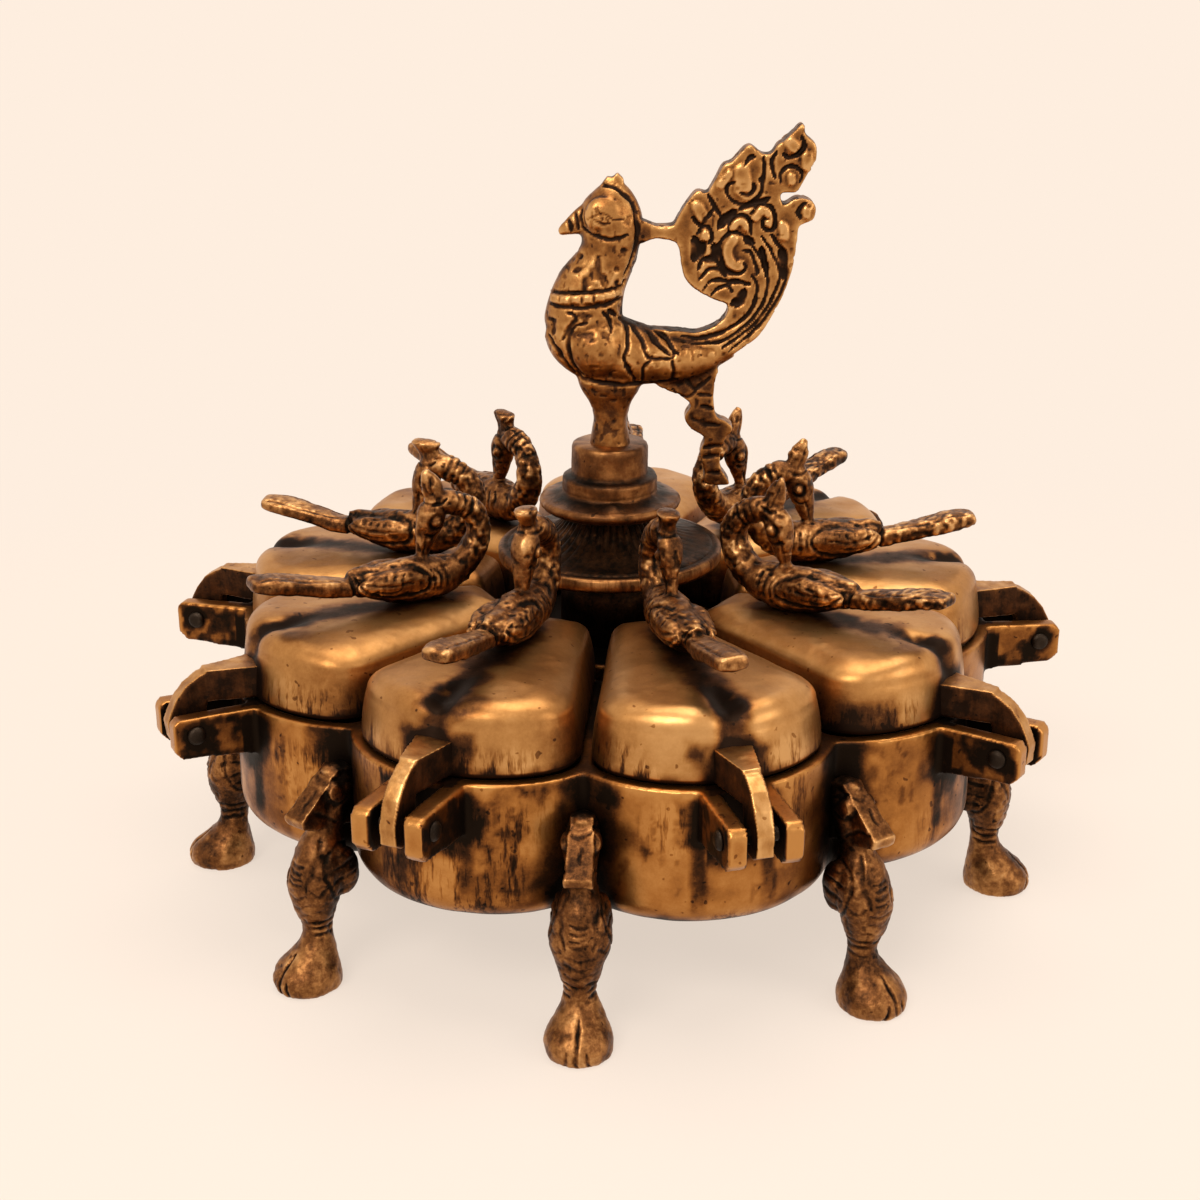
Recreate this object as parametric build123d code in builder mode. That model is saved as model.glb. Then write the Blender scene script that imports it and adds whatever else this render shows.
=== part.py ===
from build123d import *
import os
from math import cos, radians, sin, tan

# A brass powder box in the shape of a nine-petalled flower. Each petal is a well with its own hinged
# lid and a small bird on the lid, and a peacock stands on a turned column in the middle.
# Millimetres, +Z up, the floor at Z = 0 and the column on the Z axis. The peacock faces -X.

# the flower
petal_count = 9
petal_step = 360 / petal_count
half_step = radians(petal_step / 2)
box_turn = -4.0
valley_angles = [box_turn - 90 + petal_step * k for k in range(petal_count)]
petal_angles = [angle + petal_step / 2 for angle in valley_angles]

# fits and gaps
running_fit = 0.05
seat_gap = 0.3
through = 200.0

# the tray
rim_height = 43.2
tray_bottom = 18.6
lobe_reach = 70.4
valley_depth = 8.4
lobe_bottom_round = 5.0
tray_wall = 2.6
tray_floor = 3.0
partition_half = 1.2
boss_radius = 15.0
well_corner = 6.0
well_inner_corner = 2.0
core_radius = 52.0

# the lids
lid_setback = 1.6
lid_height = 11.7
lid_side_gap = 0.9
lid_inner_end = 21.4
lid_corner = 8.5
lid_inner_corner = 3.4
lid_round = 4.2
lid_wall = 2.4
lid_top_wall = 2.6

# the hinges
pin_reach = 9.6
pin_drop = 3.1
pin_radius = 1.2
rivet_head_radius = 1.7
rivet_head_height = 0.7
rivet_head_bevel = 0.4
ear_gap_half = 2.9
ear_thickness = 3.2
ear_past_pin = 4.0
ear_below_pin = 4.1
ear_corner = 1.4
ear_root_drop = 1.2
knuckle_half = 1.35
arm_rise = 5.9
arm_root_half = 3.6
arm_wedge_gap = 3.6
arm_lift = 0.4
arm_turn = 5.0
knuckle_back = 3.4

# the column
stud_radius = 2.0
nut_across_flats = 8.0
nut_height = 3.2
washer_radius = 6.0
washer_thickness = 1.0
stud_end = 1.2
stud_reach = 5.6
post_radius = 9.0
flange_radius = 20.3
flange_lift = 2.5
flange_thickness = 2.5
bell_root_radius = 19.0
bell_top_radius = 6.9
disc_radius = 12.7
bell_height = 7.2
disc_thickness = 1.9
disc_crown = 1.3
ring_radius = 8.5
ring_height = 2.9
drum_radius = 6.8
drum_height = 5.9
turned_edge = 0.6
disc_bevel = 1.3
bell_belly_out = 3.2
bell_belly_up = 2.4
stud_bevel = 0.5

# the lid birds
peg_radius = 1.5
peg_head = 0.8
peg_overlap = 1.0
peg_place = 38.0

# what follows from those sizes
valley_radius = lobe_reach - valley_depth
lobe_centre = (lobe_reach**2 - valley_radius**2) / (2 * (lobe_reach - valley_radius * cos(half_step)))
lobe_radius = lobe_reach - lobe_centre
lid_reach = lobe_reach - lid_setback
lid_bottom = rim_height + seat_gap
lid_top = lid_bottom + lid_height
pin_circle = lobe_reach + pin_reach
pin_height = rim_height - pin_drop
pin_bore = pin_radius + running_fit
ear_outer = ear_gap_half + ear_thickness
ear_end = pin_circle + ear_past_pin
ear_bottom = pin_height - ear_below_pin
arm_root = lid_reach - lid_wall
arm_bottom = lid_bottom + arm_lift
arm_top = lid_bottom + arm_rise
flange_bottom = lid_top + flange_lift
flange_top = flange_bottom + flange_thickness
disc_bottom = flange_top + bell_height
disc_top = disc_bottom + disc_thickness
ring_bottom = disc_top + disc_crown
ring_top = ring_bottom + ring_height
drum_top = ring_top + drum_height
stud_top = drum_top + stud_reach
stud_bore = stud_radius + running_fit


def petal_outline(side, reach, inner, corner, inner_corner):
    """A petal from above, along +X: straight sides that run to the column and a round outer end."""

    def half_width(x):
        return x * tan(half_step) - side / cos(half_step)

    far = 2 * lobe_reach
    with BuildSketch() as outline:
        Polygon(
            (inner, -half_width(inner)),
            (lobe_centre, -half_width(lobe_centre)),
            (lobe_centre, half_width(lobe_centre)),
            (inner, half_width(inner)),
            align=None,
        )
        with Locations((lobe_centre, 0)):
            Circle(reach - lobe_centre)
        Polygon(
            (inner, -half_width(inner)),
            (far, -half_width(far)),
            (far, half_width(far)),
            (inner, half_width(inner)),
            align=None,
            mode=Mode.INTERSECT,
        )
        fillet(outline.vertices().sort_by(lambda v: abs(v.Y))[-2:], corner)
        fillet(outline.vertices().sort_by(Axis.X)[:2], inner_corner)
    return outline.sketch


def ovals(stations):
    """Ovals along a bent line in the XZ plane: each has x, z, heading, half height and half width."""
    sections = []
    for x, z, heading, tall, wide in stations:
        way = (cos(radians(heading)), 0, sin(radians(heading)))
        with BuildSketch(Plane(origin=(x, 0, z), x_dir=(0, 1, 0), z_dir=way)) as section:
            Ellipse(wide, tall)
        sections.append(section.sketch.face())
    return sections


def save(shape, name):
    """Write one finished piece under its own name."""
    shape.label = name
    export_step(shape, f"parts/{name}.step")


def save_copies(shape, stem, angles):
    """Write a copy of a piece made along +X for each angle round the column."""
    for number, angle in enumerate(angles, start=1):
        save(shape.rotate(Axis.Z, angle), f"{stem}_{number}")


os.makedirs("parts", exist_ok=True)

# One lobe of the tray as a plain filled bowl, which also trims the legs that stand against it.
with BuildPart() as lobe:
    with Locations((lobe_centre, 0, tray_bottom)):
        Cylinder(lobe_radius, rim_height - tray_bottom, align=(Align.CENTER, Align.CENTER, Align.MIN))
    fillet(lobe.edges().group_by(Axis.Z)[0], lobe_bottom_round)

with BuildPart() as flower:
    with Locations((0, 0, tray_bottom)):
        Cylinder(core_radius, rim_height - tray_bottom, align=(Align.CENTER, Align.CENTER, Align.MIN))
    for angle in petal_angles:
        add(lobe.part.rotate(Axis.Z, angle))

# The two ears of a hinge, as plates that stand out from the lobe wall.
ear_root = lobe_reach - tray_wall / 2
with BuildPart() as ears:
    for side in (-1, 1):
        with BuildSketch(Plane.XZ.offset(-side * (ear_gap_half + ear_thickness / 2))):
            with BuildLine():
                Polyline(
                    (ear_root, rim_height),
                    (ear_end, rim_height),
                    (ear_end, ear_bottom),
                    (ear_root, ear_bottom - ear_root_drop),
                    close=True,
                )
            make_face()
        extrude(amount=ear_thickness / 2, both=True)
    fillet(ears.edges().filter_by(Axis.Y).group_by(Axis.X)[-1], ear_corner)
    with Locations(Plane.XZ * Location((pin_circle, pin_height, 0))):
        Cylinder(pin_bore, through, mode=Mode.SUBTRACT)

well_outline = petal_outline(
    partition_half, lobe_reach - tray_wall, boss_radius + tray_wall, well_corner, well_inner_corner
)
with BuildPart() as tray:
    add(flower.part)
    for angle in petal_angles:
        add(ears.part.rotate(Axis.Z, angle))
    for angle in petal_angles:
        with BuildSketch(Plane.XY.offset(tray_bottom + tray_floor)):
            add(well_outline, rotation=angle)
        extrude(amount=rim_height - tray_bottom, mode=Mode.SUBTRACT)
    Cylinder(stud_bore, through, mode=Mode.SUBTRACT)
save(tray.part, "tray")

# The rivet that each lid swings on, with a low head on both ends.
with BuildPart() as hinge_pin:
    Cylinder(pin_radius, 2 * ear_outer, rotation=(90, 0, 0))
    for side in (-1, 1):
        with Locations((0, side * (ear_outer + rivet_head_height / 2), 0)):
            Cylinder(rivet_head_radius, rivet_head_height, rotation=(90, 0, 0))
    ends = hinge_pin.edges().filter_by(GeomType.CIRCLE).group_by(Axis.Y)
    chamfer(ends[0] + ends[-1], rivet_head_bevel)
pin_place = Location((pin_circle, 0, pin_height))
save_copies(hinge_pin.part.moved(pin_place), "hinge_pin", petal_angles)

# A lid: a hollow pillow over its well, with the arm that bends down between the ears.
lid_outline = petal_outline(lid_side_gap, lid_reach, lid_inner_end, lid_corner, lid_inner_corner)
lid_hollow = petal_outline(
    lid_side_gap + lid_wall,
    lid_reach - lid_wall,
    lid_inner_end + lid_wall,
    lid_corner - lid_wall,
    lid_inner_corner - lid_wall,
)
arm_start = (arm_root, arm_top)
arm_bend = (pin_circle - arm_turn, arm_top)
knuckle_front = [(pin_circle + out, pin_height + up) for out, up in ((1.4, 5.9), (3.6, 1.2))]
knuckle_low = [(pin_circle + out, pin_height + up) for out, up in ((3.3, -2.2), (1.4, -3.4), (-2.4, -3.0))]
knuckle_low.append((pin_circle - knuckle_back, arm_bottom))
with BuildPart() as lid:
    with BuildSketch(Plane.XY.offset(lid_bottom)):
        add(lid_outline)
    extrude(amount=lid_height)
    fillet(lid.faces().sort_by(Axis.Z)[-1].edges(), lid_round)
    with BuildSketch(Plane.XZ):
        with BuildLine():
            Line(arm_start, arm_bend)
            ThreePointArc(arm_bend, *knuckle_front)
            Polyline(knuckle_front[-1], *knuckle_low, (arm_root, arm_bottom), arm_start)
        make_face()
    extrude(amount=knuckle_half, both=True)
    with BuildSketch(Plane.XY.offset(arm_bottom)):
        Polygon(
            (arm_root, -arm_root_half),
            (pin_circle - arm_wedge_gap, -knuckle_half),
            (pin_circle - arm_wedge_gap, knuckle_half),
            (arm_root, arm_root_half),
            align=None,
        )
    extrude(amount=arm_top - arm_bottom)
    with BuildSketch(Plane.XY.offset(lid_bottom)):
        add(lid_hollow)
    extrude(amount=lid_height - lid_top_wall, mode=Mode.SUBTRACT)
    with Locations(Plane.XZ * Location((pin_circle, pin_height, 0))):
        Cylinder(pin_bore, through, mode=Mode.SUBTRACT)
    with Locations((peg_place, 0, lid_top)):
        Cylinder(peg_radius + running_fit, 2 * lid_height, mode=Mode.SUBTRACT)
save_copies(lid.part, "lid", petal_angles)

# Heights of the bird are above the lid.
# The bird on a lid: its tail lies outward, its neck bends up by the column and its beak rests on its back.
bird_tail = [
    (67.4, 7.4, 190, 1.3, 1.9),
    (64.0, 7.0, 190, 1.9, 2.7),
    (57.0, 5.4, 192, 1.9, 2.7),
    (47.0, 3.8, 186, 1.5, 2.2),
]
bird_body = [
    (50.4, 6.2, 195, 1.4, 1.6),
    (46.0, 4.8, 192, 3.2, 3.5),
    (39.5, 4.2, 182, 4.3, 4.3),
    (33.0, 4.4, 172, 3.9, 3.8),
    (28.6, 5.2, 165, 2.6, 2.6),
]
bird_neck = [
    (33.0, 3.8, 150, 2.9, 2.8),
    (28.4, 6.4, 128, 2.9, 2.8),
    (25.8, 11.0, 92, 2.6, 2.5),
    (27.2, 15.4, 50, 2.5, 2.4),
    (31.2, 17.4, 5, 2.5, 2.4),
    (34.2, 17.1, -40, 1.5, 1.4),
]
bird_beak = [
    (33.8, 19.2, -78, 1.2, 1.2),
    (34.6, 15.4, -76, 2.7, 2.3),
    (35.8, 11.4, -74, 2.2, 1.8),
    (36.8, 7.4, -72, 1.3, 1.3),
]
bird_crest = [
    (33.4, 17.8, 70, 1.5, 1.4),
    (34.6, 21.4, 68, 1.6, 1.3),
    (35.3, 23.4, 66, 0.5, 0.5),
]
with BuildPart() as bird:
    loft(ovals(bird_body))
    loft(ovals(bird_neck))
    loft(ovals(bird_tail))
    loft(ovals(bird_beak))
    loft(ovals(bird_crest))
    split(bisect_by=Plane.XY, keep=Keep.TOP)
    with Locations((peg_place, 0, peg_overlap)):
        Cylinder(
            peg_radius,
            lid_top_wall + peg_head + peg_overlap,
            align=(Align.CENTER, Align.CENTER, Align.MAX),
        )
save_copies(bird.part.moved(Location((0, 0, lid_top))), "lid_bird", petal_angles)

# A leg: a bird's head with a wedge of a beak over a full breast, a thin ankle and a hoof.
leg_ovals = [
    (0.0, 11.2, 5.9, 5.5),
    (1.6, 11.2, 5.9, 5.5),
    (4.6, 10.3, 4.6, 4.4),
    (8.2, 8.9, 2.9, 3.0),
    (12.0, 8.6, 3.2, 3.4),
    (18.5, 8.2, 4.6, 4.9),
    (24.5, 7.0, 4.5, 4.8),
    (30.0, 5.0, 3.6, 3.6),
    (35.5, 3.0, 2.6, 2.6),
    (37.4, 2.6, 1.4, 1.6),
]
leg_beak = [(0.0, 37.6), (4.0, 38.2), (13.0, 30.9), (12.4, 29.2), (7.0, 28.6), (0.0, 26.0)]
leg_beak_half = 2.3
with BuildPart() as leg:
    for height, out, deep, wide in leg_ovals:
        with BuildSketch(Plane.XY.offset(height)):
            with Locations((valley_radius + out, 0)):
                Ellipse(deep, wide)
    loft()
    with BuildSketch(Plane.XZ):
        Polygon(*[(valley_radius + out, height) for out, height in leg_beak], align=None)
    extrude(amount=leg_beak_half, both=True)
    for side in (-1, 1):
        add(lobe.part.rotate(Axis.Z, side * petal_step / 2), mode=Mode.SUBTRACT)
    with Locations((0, 0, tray_bottom)):
        Cylinder(
            core_radius, rim_height, align=(Align.CENTER, Align.CENTER, Align.MIN), mode=Mode.SUBTRACT
        )
save_copies(leg.part, "leg", valley_angles)

# The column: post, fluted bell on its flange, and pedestal, all threaded on one stud with a nut below.
with BuildPart() as post:
    with BuildSketch(Plane.XY.offset(rim_height)):
        Circle(post_radius)
        Circle(stud_bore, mode=Mode.SUBTRACT)
    extrude(amount=flange_bottom - rim_height)
save(post.part, "centre_post")

bell_belly = (bell_top_radius + bell_belly_out, flange_top + bell_belly_up)
with BuildPart() as bell:
    with BuildSketch(Plane.XZ):
        with BuildLine():
            Polyline(
                (stud_bore, disc_bottom),
                (stud_bore, flange_bottom),
                (flange_radius - turned_edge, flange_bottom),
                (flange_radius, flange_bottom + turned_edge),
                (flange_radius, flange_top),
                (bell_root_radius, flange_top),
            )
            ThreePointArc((bell_root_radius, flange_top), bell_belly, (bell_top_radius, disc_bottom))
            Line((bell_top_radius, disc_bottom), (stud_bore, disc_bottom))
        make_face()
    revolve(axis=Axis.Z)
save(bell.part, "fluted_bell")

with BuildPart() as pedestal:
    with BuildSketch(Plane.XZ):
        with BuildLine():
            Polyline(
                (stud_bore, disc_bottom),
                (disc_radius - disc_bevel, disc_bottom),
                (disc_radius, disc_bottom + disc_bevel),
                (disc_radius, disc_top),
                (ring_radius, ring_bottom),
                (ring_radius, ring_top - turned_edge),
                (ring_radius - turned_edge, ring_top),
                (drum_radius, ring_top),
                (drum_radius, drum_top - turned_edge),
                (drum_radius - turned_edge, drum_top),
                (stud_bore, drum_top),
                close=True,
            )
        make_face()
    revolve(axis=Axis.Z)
save(pedestal.part, "pedestal")

nut_bottom = tray_bottom - washer_thickness - nut_height
with BuildPart() as washer:
    with BuildSketch(Plane.XY.offset(tray_bottom - washer_thickness)):
        Circle(washer_radius)
        Circle(stud_bore, mode=Mode.SUBTRACT)
    extrude(amount=washer_thickness)
save(washer.part, "stud_washer")

with BuildPart() as nut:
    with BuildSketch(Plane.XY.offset(nut_bottom)):
        RegularPolygon(nut_across_flats / 2, 6, major_radius=False)
        Circle(stud_bore, mode=Mode.SUBTRACT)
    extrude(amount=nut_height)
save(nut.part, "stud_nut")

with BuildPart() as stud:
    with Locations((0, 0, nut_bottom - stud_end)):
        Cylinder(stud_radius, stud_top - nut_bottom + stud_end, align=(Align.CENTER, Align.CENTER, Align.MIN))
    chamfer(stud.edges().group_by(Axis.Z)[0], stud_bevel)
save(stud.part, "centre_stud")

# Heights of the peacock are above the drum it stands on.
# The peacock, which faces -X: body, neck and head in one swell, a flat plume, and two legs.
peacock_body = [
    (21.0, 18.2, 198, 3.0, 2.4),
    (14.5, 15.4, 186, 4.6, 4.2),
    (8.0, 15.6, 180, 5.4, 5.4),
    (1.5, 16.8, 176, 6.6, 6.0),
    (-4.4, 19.0, 170, 7.2, 6.0),
    (-9.0, 20.4, 168, 5.0, 4.6),
    (-11.6, 20.8, 168, 1.6, 1.6),
]
peacock_neck = [
    (-4.2, 18.6, 96, 6.6, 5.2),
    (-4.4, 23.6, 92, 7.0, 5.4),
    (-3.0, 29.0, 78, 6.2, 4.8),
    (-0.2, 33.8, 76, 5.2, 4.3),
    (0.2, 38.2, 90, 5.8, 4.5),
    (0.0, 42.0, 90, 5.0, 4.0),
    (0.4, 45.2, 90, 2.6, 2.2),
    (0.6, 47.2, 90, 1.0, 1.0),
]
peacock_beak = [
    (-3.0, 39.2, 192, 3.4, 3.0),
    (-6.4, 38.2, 196, 1.9, 1.6),
    (-9.0, 37.4, 198, 0.7, 0.7),
]
# The plume from the side, round from the rump: back edge, curled tip, fan, neck bridge and inner edge.
plume_edges = [
    [(15.0, 11.8), (23.5, 17.9), (30.2, 27.4), (33.0, 39.0), (35.3, 42.5)],
    [(35.3, 42.5), (31.6, 42.0)],
    [(31.6, 42.0), (30.0, 44.2), (33.4, 45.8), (35.4, 51.2), (32.9, 56.1)],
    [(32.9, 56.1), (30.6, 52.4), (27.6, 50.2)],
    [(27.6, 50.2), (24.6, 52.6), (20.6, 50.2), (18.4, 46.2), (17.4, 44.5)],
    [(17.4, 44.5), (14.8, 45.0), (12.8, 42.5), (10.8, 38.6)],
    [(10.8, 38.6), (4.0, 39.0)],
    [(4.0, 39.0), (4.0, 35.2)],
    [(4.0, 35.2), (10.6, 35.8)],
    [(10.6, 35.8), (12.2, 33.2), (14.2, 27.8), (20.2, 25.1)],
    [(20.2, 25.1), (20.4, 22.6), (17.6, 20.5), (11.0, 18.6)],
    [(11.0, 18.6), (15.0, 11.8)],
]
plume_half = 2.3

# The hind leg from the side: it arches down to the hock, and the foot hangs free beside the drum.
hind_leg = [
    (6.0, 13.6), (11.0, 8.8), (14.0, 6.8), (12.9, 4.2), (16.6, 0.8), (16.0, -1.8), (17.4, -7.4),
    (21.4, -7.6), (20.0, -3.8), (20.4, 0.4), (21.6, 3.0), (18.8, 5.0), (18.2, 14.6),
]
hind_leg_half = 1.9

# The front leg stands on the drum: height, half length and half width of each section.
front_leg = [(0.0, 3.5, 3.5), (4.6, 3.1, 3.1), (8.6, 4.6, 3.8), (13.1, 6.0, 4.6)]
front_leg_corner = 1.2
with BuildPart() as peacock:
    loft(ovals(peacock_body))
    loft(ovals(peacock_neck))
    loft(ovals(peacock_beak))
    with BuildSketch(Plane.XZ):
        with BuildLine():
            for edge in plume_edges:
                if len(edge) > 2:
                    Spline(*edge)
                else:
                    Line(*edge)
        make_face()
    extrude(amount=plume_half, both=True)
    with BuildSketch(Plane.XZ):
        Polygon(*hind_leg, align=None)
    extrude(amount=hind_leg_half, both=True)
    for height, long, wide in front_leg:
        with BuildSketch(Plane.XY.offset(height)):
            RectangleRounded(2 * long, 2 * wide, front_leg_corner)
    loft()
    with Locations((0, 0, stud_reach + seat_gap)):
        Cylinder(stud_bore, through, align=(Align.CENTER, Align.CENTER, Align.MAX), mode=Mode.SUBTRACT)
save(peacock.part.moved(Location((0, 0, drum_top))), "peacock")
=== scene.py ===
import math

import bpy
import numpy as np
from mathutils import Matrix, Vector


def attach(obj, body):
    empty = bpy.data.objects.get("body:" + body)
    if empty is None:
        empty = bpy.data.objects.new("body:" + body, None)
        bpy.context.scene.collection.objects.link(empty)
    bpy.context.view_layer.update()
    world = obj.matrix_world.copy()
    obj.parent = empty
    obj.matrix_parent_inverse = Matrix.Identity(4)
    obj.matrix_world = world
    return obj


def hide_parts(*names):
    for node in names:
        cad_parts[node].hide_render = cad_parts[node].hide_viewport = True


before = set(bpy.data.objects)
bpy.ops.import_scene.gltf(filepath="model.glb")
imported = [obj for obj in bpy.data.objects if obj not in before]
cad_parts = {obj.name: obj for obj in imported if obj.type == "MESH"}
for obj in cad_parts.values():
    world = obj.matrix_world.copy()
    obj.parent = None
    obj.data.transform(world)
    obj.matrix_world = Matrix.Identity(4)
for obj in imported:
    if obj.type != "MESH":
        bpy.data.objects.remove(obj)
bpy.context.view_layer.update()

# Lengths below are millimetres, as in the part's source, and become metres in make_object. The column
# stands on the Z axis, the floor is at height 0, and a petal's own frame has X along the petal.
MM = 0.001
PETALS = 9
STEP = 360 / PETALS
HALF = math.radians(STEP / 2)
TURN = -4.0
VALLEYS = [TURN - 90 + STEP * k for k in range(PETALS)]
PETAL_AT = [a + STEP / 2 for a in VALLEYS]

RIM, TRAY_BOTTOM, REACH, VALLEY_R = 43.2, 18.6, 70.4, 62.0
LOBE_C = (REACH**2 - VALLEY_R**2) / (2 * (REACH - VALLEY_R * math.cos(HALF)))
LOBE_R = REACH - LOBE_C
WALL, FLOOR, BASE_ROUND, BASE_R, HUB_R = 2.6, 3.0, 5, 52, 17
WELL_SIDE, WELL_IN, WELL_CORNER, WELL_TIP = 1.2, 17.6, 6.0, 2.0

LID_LOW, LID_TOP, LID_REACH, LID_IN, LID_SIDE = 43.5, 55.2, 68.8, 21.4, 0.9
LID_WALL, LID_ROOF, LID_CORNER, LID_TIP = 2.4, 2.6, 8.5, 3.4
ARM_LOW, ARM_TOP, ARM_HALF = 43.9, 49.4, 1.45
PIN_R, PIN_Z = 80.0, 40.1
EAR_GAP, EAR_END, EAR_HALF = 2.9, 83.9, 1.6

COLUMN_BORE, POST_R, POST_TOP, FLANGE_R, FLANGE_TOP = 2.1, 9, 57.7, 20.3, 60.3
BELL_LOW, BELL_TALL, FLUTES, FLUTE_DEPTH = 60.2, 7.6, 22, 0.55
DRUM_TOP = 79.4
PEACOCK_TOP = 135.5


# Numbers and curves.
def smooth(a, b, x):
    """0 at a and before it, 1 at b and beyond it, smooth between. With a above b it falls."""
    t = np.clip((x - a) / (b - a), 0, 1)
    return t * t * (3 - 2 * t)


def lattice(i, j, k, seed):
    """A number from -1 to 1 for each whole-number point, the same in every run."""
    h = (i * 374761393 + j * 668265263 + k * 2147483647 + seed * 1442695041) & 0xFFFFFFFF
    h = ((h ^ (h >> 13)) * 1274126177) & 0xFFFFFFFF
    return ((h ^ (h >> 16)) & 0xFFFF) / 32767.5 - 1


def noise(P, size, seed=0):
    """Smooth value noise from -1 to 1 with features of that size, at points in mm."""
    q = np.asarray(P, float) / size
    c = np.floor(q).astype(np.int64)
    f = q - c
    f = f * f * (3 - 2 * f)
    out = 0
    for dx in (0, 1):
        for dy in (0, 1):
            for dz in (0, 1):
                w = np.abs(1 - dx - f[:, 0]) * np.abs(1 - dy - f[:, 1]) * np.abs(1 - dz - f[:, 2])
                out = out + w * lattice(c[:, 0] + dx, c[:, 1] + dy, c[:, 2] + dz, seed)
    return out


def curve(points, steps):
    """A Catmull-Rom curve through rows of numbers."""
    p = np.asarray(points, float)
    if len(p) < 3:
        t = np.linspace(0, 1, steps + 1)[:, None]
        return p[0] * (1 - t) + p[-1] * t
    p = np.vstack([2 * p[0] - p[1], p, 2 * p[-1] - p[-2]])
    rows = []
    for i in range(1, len(p) - 2):
        a, b, c, d = p[i - 1 : i + 3]
        square, cube = 2 * a - 5 * b + 4 * c - d, 3 * b - a - 3 * c + d
        for t in np.arange(steps) / steps:
            rows.append(0.5 * (2 * b + (c - a) * t + square * t**2 + cube * t**3))
    rows.append(p[-2])
    return np.array(rows)


def nearest(Q, line):
    """Each point's distance to a broken line in the plane, and the share of the line that lies before it."""
    best = np.full(len(Q), 1e9)
    share = np.zeros(len(Q))
    last = len(line) - 1
    for i in range(last):
        a, b = line[i], line[i + 1]
        ab = b - a
        t = np.clip(((Q - a) @ ab) / max(ab @ ab, 1e-12), 0, 1)
        d = np.hypot(*(Q - a - t[:, None] * ab).T)
        closer = d < best
        best[closer] = d[closer]
        share[closer] = ((i + t) / last)[closer]
    return best, share


def distance(Q, line):
    return nearest(Q, line)[0]


def columns(*parts):
    """Arrays side by side, where a single number fills its column."""
    n = max(len(part) for part in parts if np.ndim(part))
    return np.column_stack([part if np.ndim(part) else np.full(n, part) for part in parts])


def path(numbers):
    """A line in a plane: its first point, then the steps to the next ones, in tenths of a millimetre."""
    return np.cumsum(np.reshape(numbers, (-1, 2)), axis=0) / 10


def paths(rows):
    return [path(row) for row in rows]


def closed(loop):
    return np.vstack([loop, loop[:1]])


def circle(n, power=1.0):
    """Cosines and sines of n angles. A power below 1 squares the circle."""
    t = np.linspace(0, 2 * math.pi, n, endpoint=False)
    return [np.sign(q) * np.abs(q) ** power for q in (np.cos(t), np.sin(t))]


def spin(V, degrees):
    """Points turned about the column by one angle, or each by its own."""
    a = np.radians(degrees)
    c, s = np.cos(a), np.sin(a)
    return columns(V[:, 0] * c - V[:, 1] * s, V[:, 0] * s + V[:, 1] * c, V[:, 2])


# Meshes, as vertices and faces.
def rings(loops):
    """A skin over closed loops of equal length, capped at both ends."""
    n = len(loops[0])
    V = np.vstack(loops)
    F = []
    for k in range(len(loops) - 1):
        for i in range(n):
            j = (i + 1) % n
            F.append((k * n + i, k * n + j, (k + 1) * n + j, (k + 1) * n + i))
    F.append(tuple(range(n - 1, -1, -1)))
    F.append(tuple((len(loops) - 1) * n + i for i in range(n)))
    return V, F


def tube(stations, sides, power=1.0):
    """The part's ovals along a bent line in the XZ plane: x, z, heading, half height, half width."""
    c, s = circle(sides, power)
    loops = []
    for x, z, heading, tall, wide in curve(stations, 5):
        h = math.radians(heading)
        up = np.array([-math.sin(h), 0, math.cos(h)])
        oval = np.outer(c * tall, up) + np.outer(s * wide, (0, 1, 0))
        loops.append(np.array([x, 0, z]) + oval)
    return rings(loops)


def prism(outline, half):
    """A flat outline in the XZ plane made solid, from -half to half along Y."""
    o = np.asarray(outline, float)
    return rings([columns(o[:, 0], y, o[:, 1]) for y in (-half, half)])


def lathe(profile, sides=96):
    """A closed profile of radius, height pairs turned about the column."""
    c, s = circle(sides)
    return rings([columns(r * c, r * s, z) for r, z in profile])


def fine_profile(profile, step):
    """The same profile with points close enough together to be dented."""
    rows = [profile[0]]
    for a, b in zip(profile[:-1], profile[1:]):
        n = max(1, round(math.dist(a, b) / step)) if min(a[0], b[0]) > 3 else 1
        rows += [(a[0] + (b[0] - a[0]) * i / n, a[1] + (b[1] - a[1]) * i / n) for i in range(1, n + 1)]
    return rows


def ball(centre, sizes, sides=20):
    c, s = circle(sides)
    loops = []
    for k in np.linspace(-math.pi / 2, math.pi / 2, sides // 2 + 1)[1:-1]:
        x, y = sizes[0] * math.cos(k) * c, sizes[1] * math.cos(k) * s
        loops.append(columns(x, y, sizes[2] * math.sin(k)) + centre)
    return rings(loops)


def merged(parts):
    V, F, base = [], [], 0
    for v, f in parts:
        V.append(v)
        F += [tuple(i + base for i in face) for face in f]
        base += len(v)
    return np.vstack(V), F


def placed(name, data):
    """A new object in the scene."""
    obj = bpy.data.objects.new(name, data)
    bpy.context.scene.collection.objects.link(obj)
    return obj


def raw_object(name, V, F):
    mesh = bpy.data.meshes.new(name)
    mesh.from_pydata(np.asarray(V).tolist(), [], F)
    return placed(name, mesh)


def fuse(parts, voxel, rounds):
    """Closed shells melted into one casting, as dense quads, and smoothed a little."""
    body = raw_object("melt", *merged(parts))
    melt = body.modifiers.new("melt", "REMESH")
    melt.mode, melt.voxel_size = "VOXEL", voxel
    melted = body.evaluated_get(bpy.context.evaluated_depsgraph_get())
    mesh = melted.to_mesh()
    V = np.empty(len(mesh.vertices) * 3)
    mesh.vertices.foreach_get("co", V)
    F = [tuple(p.vertices) for p in mesh.polygons]
    melted.to_mesh_clear()
    bpy.data.meshes.remove(body.data)
    return relax(V.reshape(-1, 3), F, rounds), F


def quads(F):
    """All faces but the caps."""
    return np.array([f for f in F if len(f) == 4])


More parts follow.
